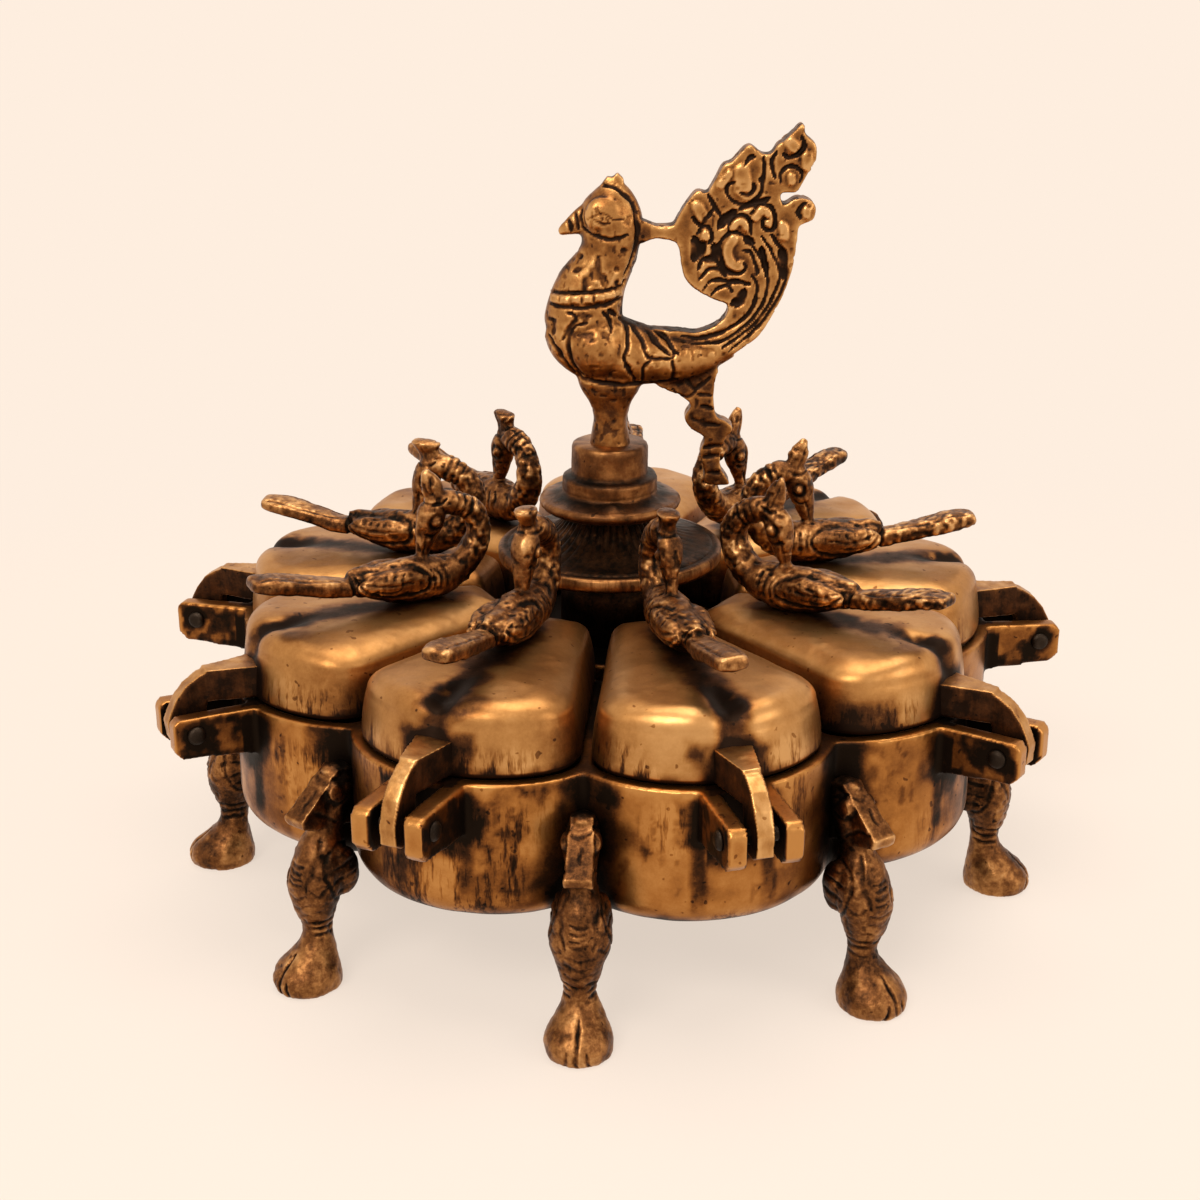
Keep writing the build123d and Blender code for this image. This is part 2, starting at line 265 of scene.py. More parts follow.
def edges_of(F):
    """Each edge once."""
    q = quads(F)
    e = np.vstack([q[:, [k, (k + 1) % 4]] for k in range(4)])
    return np.unique(np.sort(e, axis=1), axis=0)


def around(V, E):
    """The mean of each vertex's neighbours."""
    n = len(V)
    total, count = np.zeros((n, 3)), np.zeros(n)
    for a, b in ((0, 1), (1, 0)):
        for c in range(3):
            total[:, c] += np.bincount(E[:, a], weights=V[E[:, b], c], minlength=n)
        count += np.bincount(E[:, a], minlength=n)
    return total / np.maximum(count, 1)[:, None]


def relax(V, F, rounds):
    """Smoothed a little, with the loss of volume given back."""
    E = edges_of(F)
    for _ in range(rounds):
        for w in (0.5, -0.515):
            V = V + w * (around(V, E) - V)
    return V


def normals(V, F):
    q = quads(F)
    n = np.cross(V[q[:, 2]] - V[q[:, 0]], V[q[:, 3]] - V[q[:, 1]])
    N = np.zeros_like(V)
    for k in range(4):
        for c in range(3):
            N[:, c] += np.bincount(q[:, k], weights=n[:, c], minlength=len(V))
    return N / np.maximum(np.linalg.norm(N, axis=1), 1e-12)[:, None]


def hollow(V, F, reach):
    """How far each point lies below the smoothed surface round it, in mm: above 0 in grooves."""
    E = edges_of(F)
    S = V.copy()
    for _ in range(reach):
        S = S + 0.6 * (around(S, E) - S)
    return np.einsum("ij,ij->i", S - V, normals(V, F))


# Materials: brass whose colour comes from each piece's own values plus noise: one for patina together with
# painted shade and painted highlights, one for streaks.
def link(tree, value, socket):
    """A socket joined to another, or set to a value."""
    if isinstance(value, bpy.types.NodeSocket):
        tree.links.new(value, socket)
    else:
        socket.default_value = value


def node(tree, kind, **inputs):
    """A shader node with its inputs joined or set by name, _ for a space."""
    n = tree.nodes.new("ShaderNode" + kind)
    for name, value in inputs.items():
        link(tree, value, n.inputs[name.replace("_", " ")])
    return n


def calc(tree, operation, *values, clamp=False):
    n = tree.nodes.new("ShaderNodeMath")
    n.operation, n.use_clamp = operation, clamp
    for value, socket in zip(values, n.inputs):
        link(tree, value, socket)
    return n.outputs[0]


def noise_node(tree, where, scale, detail, rough, stretch=None):
    if stretch:
        where = node(tree, "Mapping", Vector=where, Scale=stretch).outputs[0]
    return node(tree, "TexNoise", Vector=where, Scale=scale, Detail=detail, Roughness=rough).outputs["Fac"]


def ramp_node(tree, value, stops):
    n = node(tree, "ValToRGB", Fac=value)
    while len(n.color_ramp.elements) < len(stops):
        n.color_ramp.elements.new(0.5)
    for e, (place, *colour) in zip(n.color_ramp.elements, stops):
        e.position = place
        e.color = (*colour, 1)
    return n.outputs[0]


PIT_DEPTH = 0.00012


def noise_part(tree, value, middle, amount):
    return calc(tree, "MULTIPLY", calc(tree, "SUBTRACT", value, middle), amount)


def new_material(name):
    mat = bpy.data.materials.new(name)
    mat.use_nodes = True
    return mat, mat.node_tree, mat.node_tree.nodes["Principled BSDF"]


def brass(name, stops, mottling, flecks, rough, pits):
    """Patinated brass. stops: colours from rubbed to black. mottling and flecks: how far noise moves them."""
    mat, tree, shader = new_material(name)
    where = node(tree, "TexCoord").outputs["Object"]
    values = []
    # The first stored value holds patina together with painted shade and painted highlights.
    for key in ("patina_and_shading", "streak"):
        stored = node(tree, "Attribute")
        stored.attribute_name = key
        values.append(stored.outputs["Fac"])
    patina_and_shading, streak = values
    mid = noise_node(tree, where, 330, 5, 0.7)
    fine = noise_node(tree, where, 1500, 4, 0.75)
    ragged = calc(tree, "MULTIPLY_ADD", patina_and_shading, 1.3, 0.35)
    p = calc(tree, "ADD", patina_and_shading, noise_part(tree, noise_node(tree, where, 60, 3, 0.6), 0.5, mottling))
    for value, amount in ((mid, mottling * 1.5), (fine, flecks)):
        p = calc(tree, "MULTIPLY_ADD", noise_part(tree, value, 0.5, amount), ragged, p)
    dots = calc(tree, "MAXIMUM", noise_part(tree, noise_node(tree, where, 640, 1, 0.5), 0.72, 9), 0.0)
    p = calc(tree, "ADD", p, calc(tree, "MINIMUM", dots, 0.3))
    thin = noise_node(tree, where, 1100, 3, 0.7, (1, 1, 0.17))
    wide = noise_node(tree, where, 380, 4, 0.65, (1, 1, 0.2))
    s = calc(tree, "MULTIPLY", noise_part(tree, calc(tree, "ADD", thin, wide), 1.02, 2.2), streak)
    s = calc(tree, "MINIMUM", calc(tree, "MAXIMUM", s, -0.08), 0.5)
    p = calc(tree, "ADD", p, s, clamp=True)
    link(tree, ramp_node(tree, p, stops), shader.inputs["Base Color"])
    r0, r1 = rough
    greys = [(place, grey, grey, grey) for place, grey in ((0.0, r0), (0.45, r0 * 1.25), (0.85, r1))]
    link(tree, ramp_node(tree, p, greys), shader.inputs["Roughness"])
    shader.inputs["Metallic"].default_value = 1.0
    height = calc(tree, "MULTIPLY_ADD", fine, 0.8, mid)
    bump = node(tree, "Bump", Strength=pits, Distance=PIT_DEPTH, Height=height)
    link(tree, bump.outputs[0], shader.inputs["Normal"])
    return mat


# Colours from rubbed to black: the place on the ramp, then red, green and blue.
LID_GOLD = [
    (0.0, 0.64, 0.355, 0.135), (0.2, 0.46, 0.225, 0.07), (0.42, 0.27, 0.11, 0.03),
    (0.66, 0.085, 0.033, 0.013), (0.95, 0.02, 0.011, 0.007),
]
TRAY_GOLD = [
    (0.0, 0.52, 0.245, 0.07), (0.2, 0.38, 0.155, 0.037), (0.42, 0.2, 0.072, 0.018),
    (0.66, 0.06, 0.023, 0.009), (0.95, 0.013, 0.008, 0.005),
]
DARK_GOLD = [
    (0.0, 0.6, 0.33, 0.13), (0.22, 0.35, 0.16, 0.052), (0.44, 0.16, 0.062, 0.02), (0.7, 0.05, 0.021, 0.009),
    (1.0, 0.009, 0.006, 0.004),
]
IRON = [(0.0, 0.075, 0.055, 0.04), (0.5, 0.03, 0.021, 0.015), (1.0, 0.01, 0.007, 0.005)]
BROWN = [(0.0, 0.3, 0.135, 0.045), (0.5, 0.09, 0.038, 0.015), (1.0, 0.02, 0.01, 0.006)]
BRASSES = {name: brass(name, *rest) for name, *rest in (
    ("lid_brass", LID_GOLD, 0.3, 0.26, (0.33, 0.55), 0.25),
    ("tray_brass", TRAY_GOLD, 0.42, 0.3, (0.3, 0.55), 0.35),
    ("bird_brass", DARK_GOLD, 0.42, 0.85, (0.3, 0.5), 0.9),
    ("leg_brass", DARK_GOLD, 0.46, 0.75, (0.32, 0.5), 0.9),
    ("peacock_brass", LID_GOLD, 0.32, 0.4, (0.28, 0.5), 0.6),
    ("column_brass", DARK_GOLD, 0.4, 0.4, (0.3, 0.5), 0.5),
    ("rivet_iron", IRON, 0.4, 0.3, (0.35, 0.5), 0.4),
    ("stud_brass", BROWN, 0.5, 0.5, (0.35, 0.5), 0.5),
)}


def make_object(name, part, body, solid, slot, patina_and_shading, streak=0.0, look=None):
    """A piece of the scene that moves with the body and takes the place of the solid."""
    V, F = part
    obj = raw_object(name, V * MM, F)
    mesh = obj.data
    # The patina values also carry painted shade and painted highlights.
    for key, value in (("patina_and_shading", patina_and_shading), ("streak", streak)):
        values = np.full(len(V), np.clip(value, 0, 1.5), np.float32)
        mesh.attributes.new(key, "FLOAT", "POINT").data.foreach_set("value", values)
    mesh.shade_smooth()
    mesh.materials.append(BRASSES[look or slot])
    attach(obj, body)
    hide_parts(solid)


def outward(part):
    """Faces turned outward, by the sign of the volume they enclose."""
    V, F = part
    volume = sum(V[f[0]] @ np.cross(V[f[i]], V[f[i + 1]]) for f in F for i in range(1, len(f) - 1))
    return (V, F) if volume > 0 else (V, [tuple(reversed(f)) for f in F])


def petal_loop(side, reach, inner, corner, inner_corner, n=280):
    """The petal's outline, as in the part's source, with n points at even steps."""
    t, c = math.tan(HALF), math.cos(HALF)
    big = reach - LOBE_C
    k = (side + corner) / c
    A, B, C = 1 + t * t, -2 * (LOBE_C + t * k), LOBE_C**2 + k * k - (big - corner) ** 2
    x = (-B + math.sqrt(B * B - 4 * A * C)) / (2 * A)
    y = x * t - k
    th = math.atan2(y, x - LOBE_C)
    xi = inner + inner_corner
    yi = xi * t - (side + inner_corner) / c
    upright = math.pi / 2 + HALF
    arcs = ((LOBE_C, 0, big, 0, th, 60), (x, y, corner, th, upright, 24))
    half = []
    for cx, cy, r, start, end, steps in (*arcs, (xi, yi, inner_corner, upright, math.pi, 16)):
        a = np.linspace(start, end, steps)
        half.append(columns(cx + r * np.cos(a), cy + r * np.sin(a)))
    half = np.vstack([*half, [[inner, 0.0]]])
    full = np.vstack([half, half[-2:0:-1] * (1, -1)])
    full = full[np.r_[True, np.linalg.norm(np.diff(full, axis=0), axis=1) > 1e-6]]
    ring = closed(full)
    length = np.r_[0, np.cumsum(np.linalg.norm(np.diff(ring, axis=0), axis=1))]
    at = np.linspace(0, length[-1], n, endpoint=False)
    return columns(*[np.interp(at, length, ring[:, i]) for i in (0, 1)])


def inset(loop, by):
    """The loop moved inward."""
    d = np.roll(loop, -1, axis=0) - np.roll(loop, 1, axis=0)
    d /= np.linalg.norm(d, axis=1)[:, None]
    return loop + by * columns(-d[:, 1], d[:, 0])


# The point in a petal that the rings of its lid and its bowl shrink towards.
MIDDLE = np.array([47.0, 0.0])


def shrunk(loop, share):
    return MIDDLE + (loop - MIDDLE) * (1 - share)


# One lid: a hollow pillow with an arm.
OUTER = petal_loop(LID_SIDE, LID_REACH, LID_IN, LID_CORNER, LID_TIP)
# The outer wall's insets from OUTER, each with its height above the lid's lower edge.
LID_WALL_ROWS = [
    (0.3, 0.12), (0.06, 0.45), (0.0, 1.0), (0.05, 2.2), (0.16, 3.6), (0.32, 5.0), (0.5, 6.2), (0.68, 7.1),
    (0.86, 7.8),
]
LID_SHOULDER = 8.2
ARM_SIDE = [
    (65.0, ARM_TOP), (75.0, ARM_TOP), (77.6, 48.7), (80.0, 47.2), (81.9, 44.9), (83.0, 42.6), (83.6, 41.0),
    (83.3, 37.9), (81.4, 36.7), (77.6, 37.1), (76.6, ARM_LOW), (65.0, ARM_LOW),
]
ARM_WEDGE = [(65.0, -3.9), (76.6, -1.5), (76.6, 1.5), (65.0, 3.9)]
# The lids with a dark corner on their outer wall, and those that are a little darker all over.
STAINED = (2, 4, 7)
DULL = (7, 8, 9)


def lid_shape():
    wall = LID_WALL
    inner = petal_loop(LID_SIDE + wall, LID_REACH - wall, LID_IN + wall, LID_CORNER - wall, 1.0)
    roof = LID_TOP - LID_ROOF
    loops = [columns(shrunk(inner, share), roof) for share in (0.97, 0.8, 0.6, 0.4, 0.2, 0.1)]
    loops += [columns(inset(inner, 0.8), roof - 0.15), columns(inset(inner, 0.15), roof - 0.9)]
    loops += [columns(inner, z) for z in (roof - 2.4, 48, 46, LID_LOW + 0.3)]
    loops += [columns(inset(inner, -0.4), LID_LOW), columns(inset(OUTER, 0.7), LID_LOW)]
    loops += [columns(inset(OUTER, e), LID_LOW + h) for e, h in LID_WALL_ROWS]
    edge = inset(OUTER, 1.0)
    low = LID_LOW + LID_SHOULDER
    rise = LID_TOP - 0.2 - low
    spans = [np.linspace(*span) for span in ((0.004, 0.08, 12), (0.1, 0.42, 16), (0.46, 0.98, 13))]
    for share in np.hstack([[0], *spans]):
        ring = shrunk(edge, share)
        d = distance(ring, closed(edge)) if share else np.zeros(len(ring))
        u = np.clip(d / (3.3 + 2.6 * smooth(64, 54, ring[:, 0])), 0, 1)
        z = low + rise * np.sqrt(1 - (1 - u) ** 2) ** 1.1 + 0.55 * smooth(1, 12, d)
        loops.append(columns(ring, z))
    return outward(rings(loops))


def lid_finish(V, F, seed):
    """The valley behind the arm, the uneven casting, and where the patina sits, with painted shade mixed in
    round the arm's root, between neighbouring lids and under the bird, and a painted shadow under the tail.
    """
    N = normals(V, F)
    x, y, z = V.T
    W = V + seed * 31.7
    outside = (N[:, 2] > -0.2) & (z > LID_LOW + 0.05)
    outside &= ~((z < LID_TOP - 2.4) & (distance(V[:, :2], closed(OUTER)) > 1.8))
    valley = np.exp(-((y / 1.9) ** 2)) * smooth(54, 63, x) * smooth(46.5, 53, z)
    ridge = np.exp(-(((np.abs(y) - 6.5) / 3.5) ** 2)) * smooth(56, 64, x) * smooth(50, 55, z)
    push = -1.15 * valley + 0.3 * ridge
    push += 0.16 * noise(W, 11) + 0.07 * noise(W, 4.1, 3) + 0.03 * noise(W, 1.3, 5)
    V = V + N * (push * outside)[:, None]
    rag = 1.3 * noise(W, 3.1, 14) + 0.7 * noise(W, 1.2, 15)
    ay = np.abs(y) + rag
    low = smooth(1.5, 0.2, z - LID_LOW + 0.5 * noise(W, 2.0, 7))
    # Round the arm's root: patina, and painted shade where the arm meets the wall.
    arm = smooth(7.5, 3.0, ay) * smooth(62, 66, x) * smooth(51.5, 48.5, z + 0.6 * rag)
    run = smooth(5.4, 1.2, ay + 1.0 + 0.8 * noise(W, 4, 18)) * smooth(60, 64, x) * smooth(44, 48, z)
    # Under the bird: patina and painted shade where it sits on the lid. shadow: a painted shadow under the
    # tail.
    bird = smooth(5.2, 0.6, ay) * smooth(27, 33, x + rag) * smooth(63, 58, x + rag) * smooth(53, 55, z)
    shadow = smooth(3.4, 0.2, ay) * smooth(57, 61, x) * smooth(68, 65, x) * smooth(50.5, 54.5, z)
    # Low on the side walls toward the inner end: patina and painted shade between neighbouring lids.
    side = smooth(54, 47, z) * smooth(66, 56, x)
    brown = smooth(0.1, 0.7, noise(W, 9, 16) + 0.3 * noise(W, 2.6, 17))
    brown = brown * smooth(12, 4, ay) * smooth(56, 64, x)
    corner = smooth(10.5, 13.5, rag - y) * smooth(50.5, 47.5, z + 0.6 * rag) * smooth(55, 60, x)
    p = 0.13 + 0.5 * low + 0.95 * arm + 0.62 * run + 0.68 * bird + 0.8 * shadow + 0.42 * side + 0.4 * brown
    p += 0.25 * smooth(32, 22, x) + 0.5 * (~outside) + 0.5 * corner * (seed in STAINED)
    p += 0.05 * (seed in DULL)
    p += 0.12 * noise(W, 7, 11) + 0.1 * noise(W, 2.6, 12) * (p > 0.3)
    streak = 1.25 * outside * smooth(0.0, 0.5, noise(W, 8, 23) + 0.35)
    streak *= smooth(LID_LOW + 6.5, LID_LOW + 1.5, z + 1.2 * noise(W, 5, 21))
    return V, p, streak


def arm_shape():
    """The arm and the knuckle that bends down between the ears, and the arm's wide root."""
    root = rings([columns(ARM_WEDGE, z) for z in (ARM_LOW, ARM_TOP)])
    return fuse([prism(ARM_SIDE, ARM_HALF), root], 0.26, 5)


def arm_finish(V, F, seed):
    W = V + seed * 17.3
    N = normals(V, F)
    V = V + N * (0.1 * noise(W, 2.6, 1) + 0.04 * noise(W, 0.9, 2))[:, None]
    # Darker on the arm's sides and underside: painted shade. Darker at the root by the lid: patina and
    # painted shade.
    sides = smooth(0.5, 0.9, np.abs(N[:, 1]))
    p = 0.2 + 0.62 * sides + 0.35 * smooth(0.4, 0.9, -N[:, 2]) - 1.6 * np.clip(-hollow(V, F, 6), 0, 0.3)
    p += 0.35 * smooth(71, 67, V[:, 0]) + 0.16 * noise(W, 1.8, 3)
    return V, p


# The tray: nine closed bowls that share their side walls, the core and the ears, melted into one casting.
def sector_loop(radius):
    """A wedge with its lobe, seen from above, sampled by the angle round MIDDLE."""
    n = 240
    a = np.linspace(-math.pi, math.pi, n, endpoint=False) + 1e-4
    d = columns(np.cos(a), np.sin(a))
    t = math.tan(HALF)
    best = np.full(n, 1e9)
    for sign in (1, -1):
        den = sign * d[:, 1] - t * d[:, 0]
        s = (MIDDLE[0] * t + 0.25) / np.where(den > 1e-9, den, np.nan)
        best = np.fmin(best, s)
    off = MIDDLE[0] - LOBE_C
    b = off * d[:, 0]
    best = np.fmin(best, -b + np.sqrt(b * b - off * off + radius * radius))
    return MIDDLE + best[:, None] * d, a


def by_angle(loop, a):
    q = loop - MIDDLE
    have = np.arctan2(q[:, 1], q[:, 0])
    order = np.argsort(have)
    have, r = have[order], np.hypot(*q.T)[order]
    r = np.interp(a, np.r_[have - 2 * math.pi, have, have + 2 * math.pi], np.r_[r, r, r])
    return MIDDLE + r[:, None] * columns(np.cos(a), np.sin(a))


def bowl():
    top, a = sector_loop(LOBE_R)
    well = by_angle(petal_loop(WELL_SIDE, REACH - WALL, WELL_IN, WELL_CORNER, WELL_TIP, 900), a)
    low = TRAY_BOTTOM + FLOOR
    loops = [columns(shrunk(well, s), low) for s in (0.97, 0.5, 0.08)]
    loops += [columns(shrunk(well, s), low + z) for s, z in ((0.03, 0.5), (0.0, 1.6))]
    loops += [columns(well, z) for z in (30, 40, RIM)]
    loops += [columns(top, z) for z in (RIM, 38, 31, TRAY_BOTTOM + BASE_ROUND)]
    for k in range(1, 7):
        t = k / 6 * math.pi / 2
        loop, _ = sector_loop(LOBE_R - BASE_ROUND + BASE_ROUND * math.cos(t))
        loops.append(columns(loop, TRAY_BOTTOM + BASE_ROUND - BASE_ROUND * math.sin(t)))
    loops.append(columns(shrunk(loops[-1][:, :2], 0.97), TRAY_BOTTOM))
    return outward(rings(loops))


EAR_SIDE = [
    (69.0, RIM), (EAR_END - 1.0, RIM), (EAR_END, 42.2), (EAR_END, 37.4), (EAR_END - 1.3, 36.0),
    (69.0, 34.8),
]


def ear(sign):
    V, F = prism(EAR_SIDE, EAR_HALF)
    V[:, 1] += sign * (EAR_GAP + EAR_HALF)
    return V, F


def disc(radius, low, high, bore=0.4):
    return lathe([(bore, low), (radius, low), (radius, high), (bore, high)])


def tray_shape():
    one = bowl()
    parts = []
    for a in PETAL_AT:
        for V, F in (one, ear(-1), ear(1)):
            parts.append((spin(V, a), F))
    parts += [disc(BASE_R, TRAY_BOTTOM, TRAY_BOTTOM + FLOOR), disc(HUB_R, TRAY_BOTTOM, RIM)]
    return fuse(parts, 0.5, 2)


def petal_frame(V):
    """Each point in the frame of its own petal: along it, across it, height."""
    angle = np.degrees(np.arctan2(V[:, 1], V[:, 0]))
    return spin(V, -(PETAL_AT[0] + np.round((angle - PETAL_AT[0]) / STEP) * STEP))


def tray_finish(V, F):
    """The uneven casting, and patina in the valleys, in blotches and inside; patina and painted shade by,
    between and below the ears; painted shade on the rim top between the lids and on the undersides.
    """
    N = normals(V, F)
    x, y, z = petal_frame(V).T
    V = V + N * (0.16 * noise(V, 12) + 0.06 * noise(V, 3.3, 1))[:, None]
    ay, r = np.abs(y), np.hypot(x, y)
    outward_share = (N[:, 0] * V[:, 0] + N[:, 1] * V[:, 1]) / r
    across = np.abs(N[:, 1] * V[:, 0] - N[:, 0] * V[:, 1]) / r
    upright = np.sqrt(1 - np.clip(N[:, 2], -1, 1) ** 2)
    rag = 1.5 * noise(V, 4.2, 34) + 0.9 * noise(V, 1.6, 35)
    beside_leg = np.abs(np.degrees(np.arctan2(ay, x)) - STEP / 2) * r * math.pi / 180 + 1.3 * rag
    valley = smooth(7.5, 1.5, beside_leg) * smooth(50, 58, r)
    top = smooth(0.5, 0.9, N[:, 2]) * (z > 40)
    ears = smooth(70.0, 71.5, x)
    # The ears' sides, darkest on the inner faces round the knuckle: patina and painted shade in the narrow
    # gap.
    ear_side = ears * smooth(0.5, 0.9, upright) * (across > 0.7)
    inner_side = ear_side * (ay < 4.5)
    # Below the ears and between them under the knuckle: patina and painted shade.
    root = smooth(10.2, 7.2, ay + rag) * smooth(32.5, 35, z + 0.6 * rag) * smooth(42.4, 41.2, z)
    root = root * (x > 66) * (x < 72)
    between = (ay < 4.6) * (x > 66) * (x < 71.5) * smooth(29, 33, z + rag)
    run = smooth(1.9, 0.3, np.abs(ay - 5.8 + 0.4 * noise(V, 5, 8)) + 0.35 * rag)
    run = run * smooth(19, 27, z + 2 * rag) * smooth(37, 35.5, z) * (x > 60)
    blotch = smooth(0.1, 0.65, noise(V, 8.5, 36) + 0.45 * noise(V, 2.9, 37) + 0.15)
    specks = smooth(0.3, 0.7, noise(V, 1.3, 61) + 0.5 * noise(V, 0.6, 62))
    specks = specks * smooth(-0.3, 0.4, noise(V, 6, 63))
    inside = (z > TRAY_BOTTOM + 2) & (z < RIM - 0.6) & (x < REACH - 1.3) & (r < 69.2) & (outward_share < 0.3)
    wall = (1 - top) * (1 - ears) * (~inside)
    wear = hollow(V, F, 8)
    pin = np.hypot(x - PIN_R, z - PIN_Z) + 0.4 * rag
    # The rim top is darker toward the middle, where it lies between and under the lids: painted shade.
    p = 0.19 + 0.85 * valley * (1 - 0.6 * top) + 0.12 * top + 0.25 * smooth(60, 17, r) * top
    p += 0.8 * inner_side + 0.62 * root + 0.65 * between + 0.5 * run + 0.4 * inside
    # Downward faces near the floor are darker: painted shade.
    p += 0.5 * smooth(0.6, 0.9, -N[:, 2]) * (z < 22) + (0.27 * blotch + 0.22 * specks) * wall
    p += ear_side * (0.22 + 0.5 * smooth(-0.15, 0.35, noise(V, 2.6, 38) + 0.5 * noise(V, 1.0, 39)))
    p += 0.7 * top * smooth(54, 42, r) - 0.12 * (x > EAR_END - 0.7)
    p += 2.2 * np.clip(wear, 0, 0.25) - 1.0 * np.clip(-wear, 0, 0.2)
    # Also darker towards the bottom.
    p += 0.1 * noise(V, 8, 31) + 0.07 * noise(V, 2.5, 32) + 0.1 * smooth(24, 19, z)
    p += 0.4 * ear_side * (1 - inner_side) * smooth(2.8, 1.7, pin)
    return V, p, wall * smooth(0.0, 0.6, noise(V, 9, 33))


# Carving.
def by_hand(Q, V, amount=0.3):
    """Drawing coordinates pushed about so that a carved line wavers, and how wide the tool cuts there."""
    push = [noise(V, 2.4, seed) + 0.5 * noise(V, 1.1, seed + 1) for seed in (41, 43)]
    width = 1 + 0.35 * noise(V, 1.9, 46) + 0.2 * noise(V, 0.8, 47)
    return columns(Q + amount * columns(*push), width)


def groove(Q, lines, width, depth):
    """How deep a set of lines cuts at each point that by_hand returned. Open lines taper at their ends."""
    total = np.zeros(len(Q))
    P, wide = Q[:, :2], Q[:, 2]
    for line in lines:
        L = curve(line, 6)
        near = np.all((P > L.min(0) - 2 * width) & (P < L.max(0) + 2 * width), axis=1)
        if near.any():
            d, share = nearest(P[near], L)
            w = width * wide[near]
            if np.hypot(*(L[0] - L[-1])) > 0.01:
                w = w * (0.4 + 0.6 * np.sqrt(np.clip(4 * share * (1 - share), 0, 1)))
            total[near] = np.maximum(total[near], depth * np.clip(1 - (d / w) ** 2, 0, 1) ** 0.8)
    return total


def carved(*rows):
    """Grooves, each from where it shows, the drawing coordinates, the lines, a width and a depth."""
    return [where * groove(*row) for where, *row in rows]


def dirt(V, F, W, cut):
    """Patina that gathers in cuts and hollows and is rubbed off what stands out."""
    fine, wide = hollow(V, F, 7), hollow(V, F, 26)
    p = 0.5 * smooth(0.04, 0.4, cut) * (0.75 + 0.5 * noise(W, 0.9, 51))
    p += 1.5 * np.clip(fine, 0, 0.3) - 1.5 * np.clip(-fine, 0, 0.2)
    broad = 0.75 * np.clip(wide, 0, 0.6) - 0.5 * np.clip(-wide, 0, 0.4)
    return p + (0.75 + 0.5 * noise(W, 1.4, 52)) * broad


# A leg, along +X: a bird's head with a wedge of a beak, a feathered breast, a thin ankle and a hoof.
# Height, distance from the column, half depth and half width. Then the side of the head.
LEG_OVALS = [
    (0.0, 73.2, 5.6, 5.2), (0.7, 73.3, 5.9, 5.5), (2.2, 73.3, 5.9, 5.6), (3.9, 72.9, 5.2, 5.1),
    (5.6, 72.1, 4.2, 4.0), (8.0, 71.0, 2.8, 2.8), (10.6, 70.7, 2.6, 2.6), (13.4, 70.9, 3.3, 3.6),
    (17.0, 70.6, 4.4, 4.7), (19.6, 70.2, 4.8, 4.9), (22.6, 69.6, 4.7, 4.4), (25.2, 68.9, 4.2, 3.4),
    (27.4, 68.0, 3.4, 2.4), (30.0, 67.0, 3.4, 2.6), (33.5, 66.0, 3.4, 3.0), (36.0, 65.2, 2.8, 2.5),
    (37.6, 64.8, 1.6, 1.6),
]
LEG_FACE = path([625, 370, 38, 9, 13, -11, 70, -59, -3, -15, -27, -8, -30, 0, -56, -16])
# Lines on the side of a leg.
LEG_SIDE = paths([
    [645, 352, 31, 12, 18, -22, -16, -20, -26, 6], [734, 316, -30, -6, -28, -18],
    [654, 246, 26, 10, 30, -20, 6, -36, -16, -34, -30, -10], [660, 224, 40, -8], [658, 202, 46, -10],
    [660, 182, 36, -8], [686, 126, 48, -6], [686, 112, 46, -6], [688, 98, 44, -6],
])


def leg_shape():
    c, s = circle(40)
    rows = curve(LEG_OVALS, 5)
    body = rings([columns(r + d * c, w * s, z) for z, r, d, w in rows])
    V, F = prism(LEG_FACE, 1.0)
    V[:, 1] *= 2.0 + 0.35 * smooth(66, 74, V[:, 0])
    parts = [body, (V, F), ball((66.0, 0, 37.2), (1.9, 1.7, 1.0))]
    for x, y, z, sizes in ((67.6, 2.3, 34.2, (1.8, 1.0, 1.7)), (67.4, 3.3, 20.4, (3.2, 1.7, 4.6))):
        parts += [ball((x, side * y, z), sizes) for side in (-1, 1)]
    return fuse(parts, 0.3, 2)


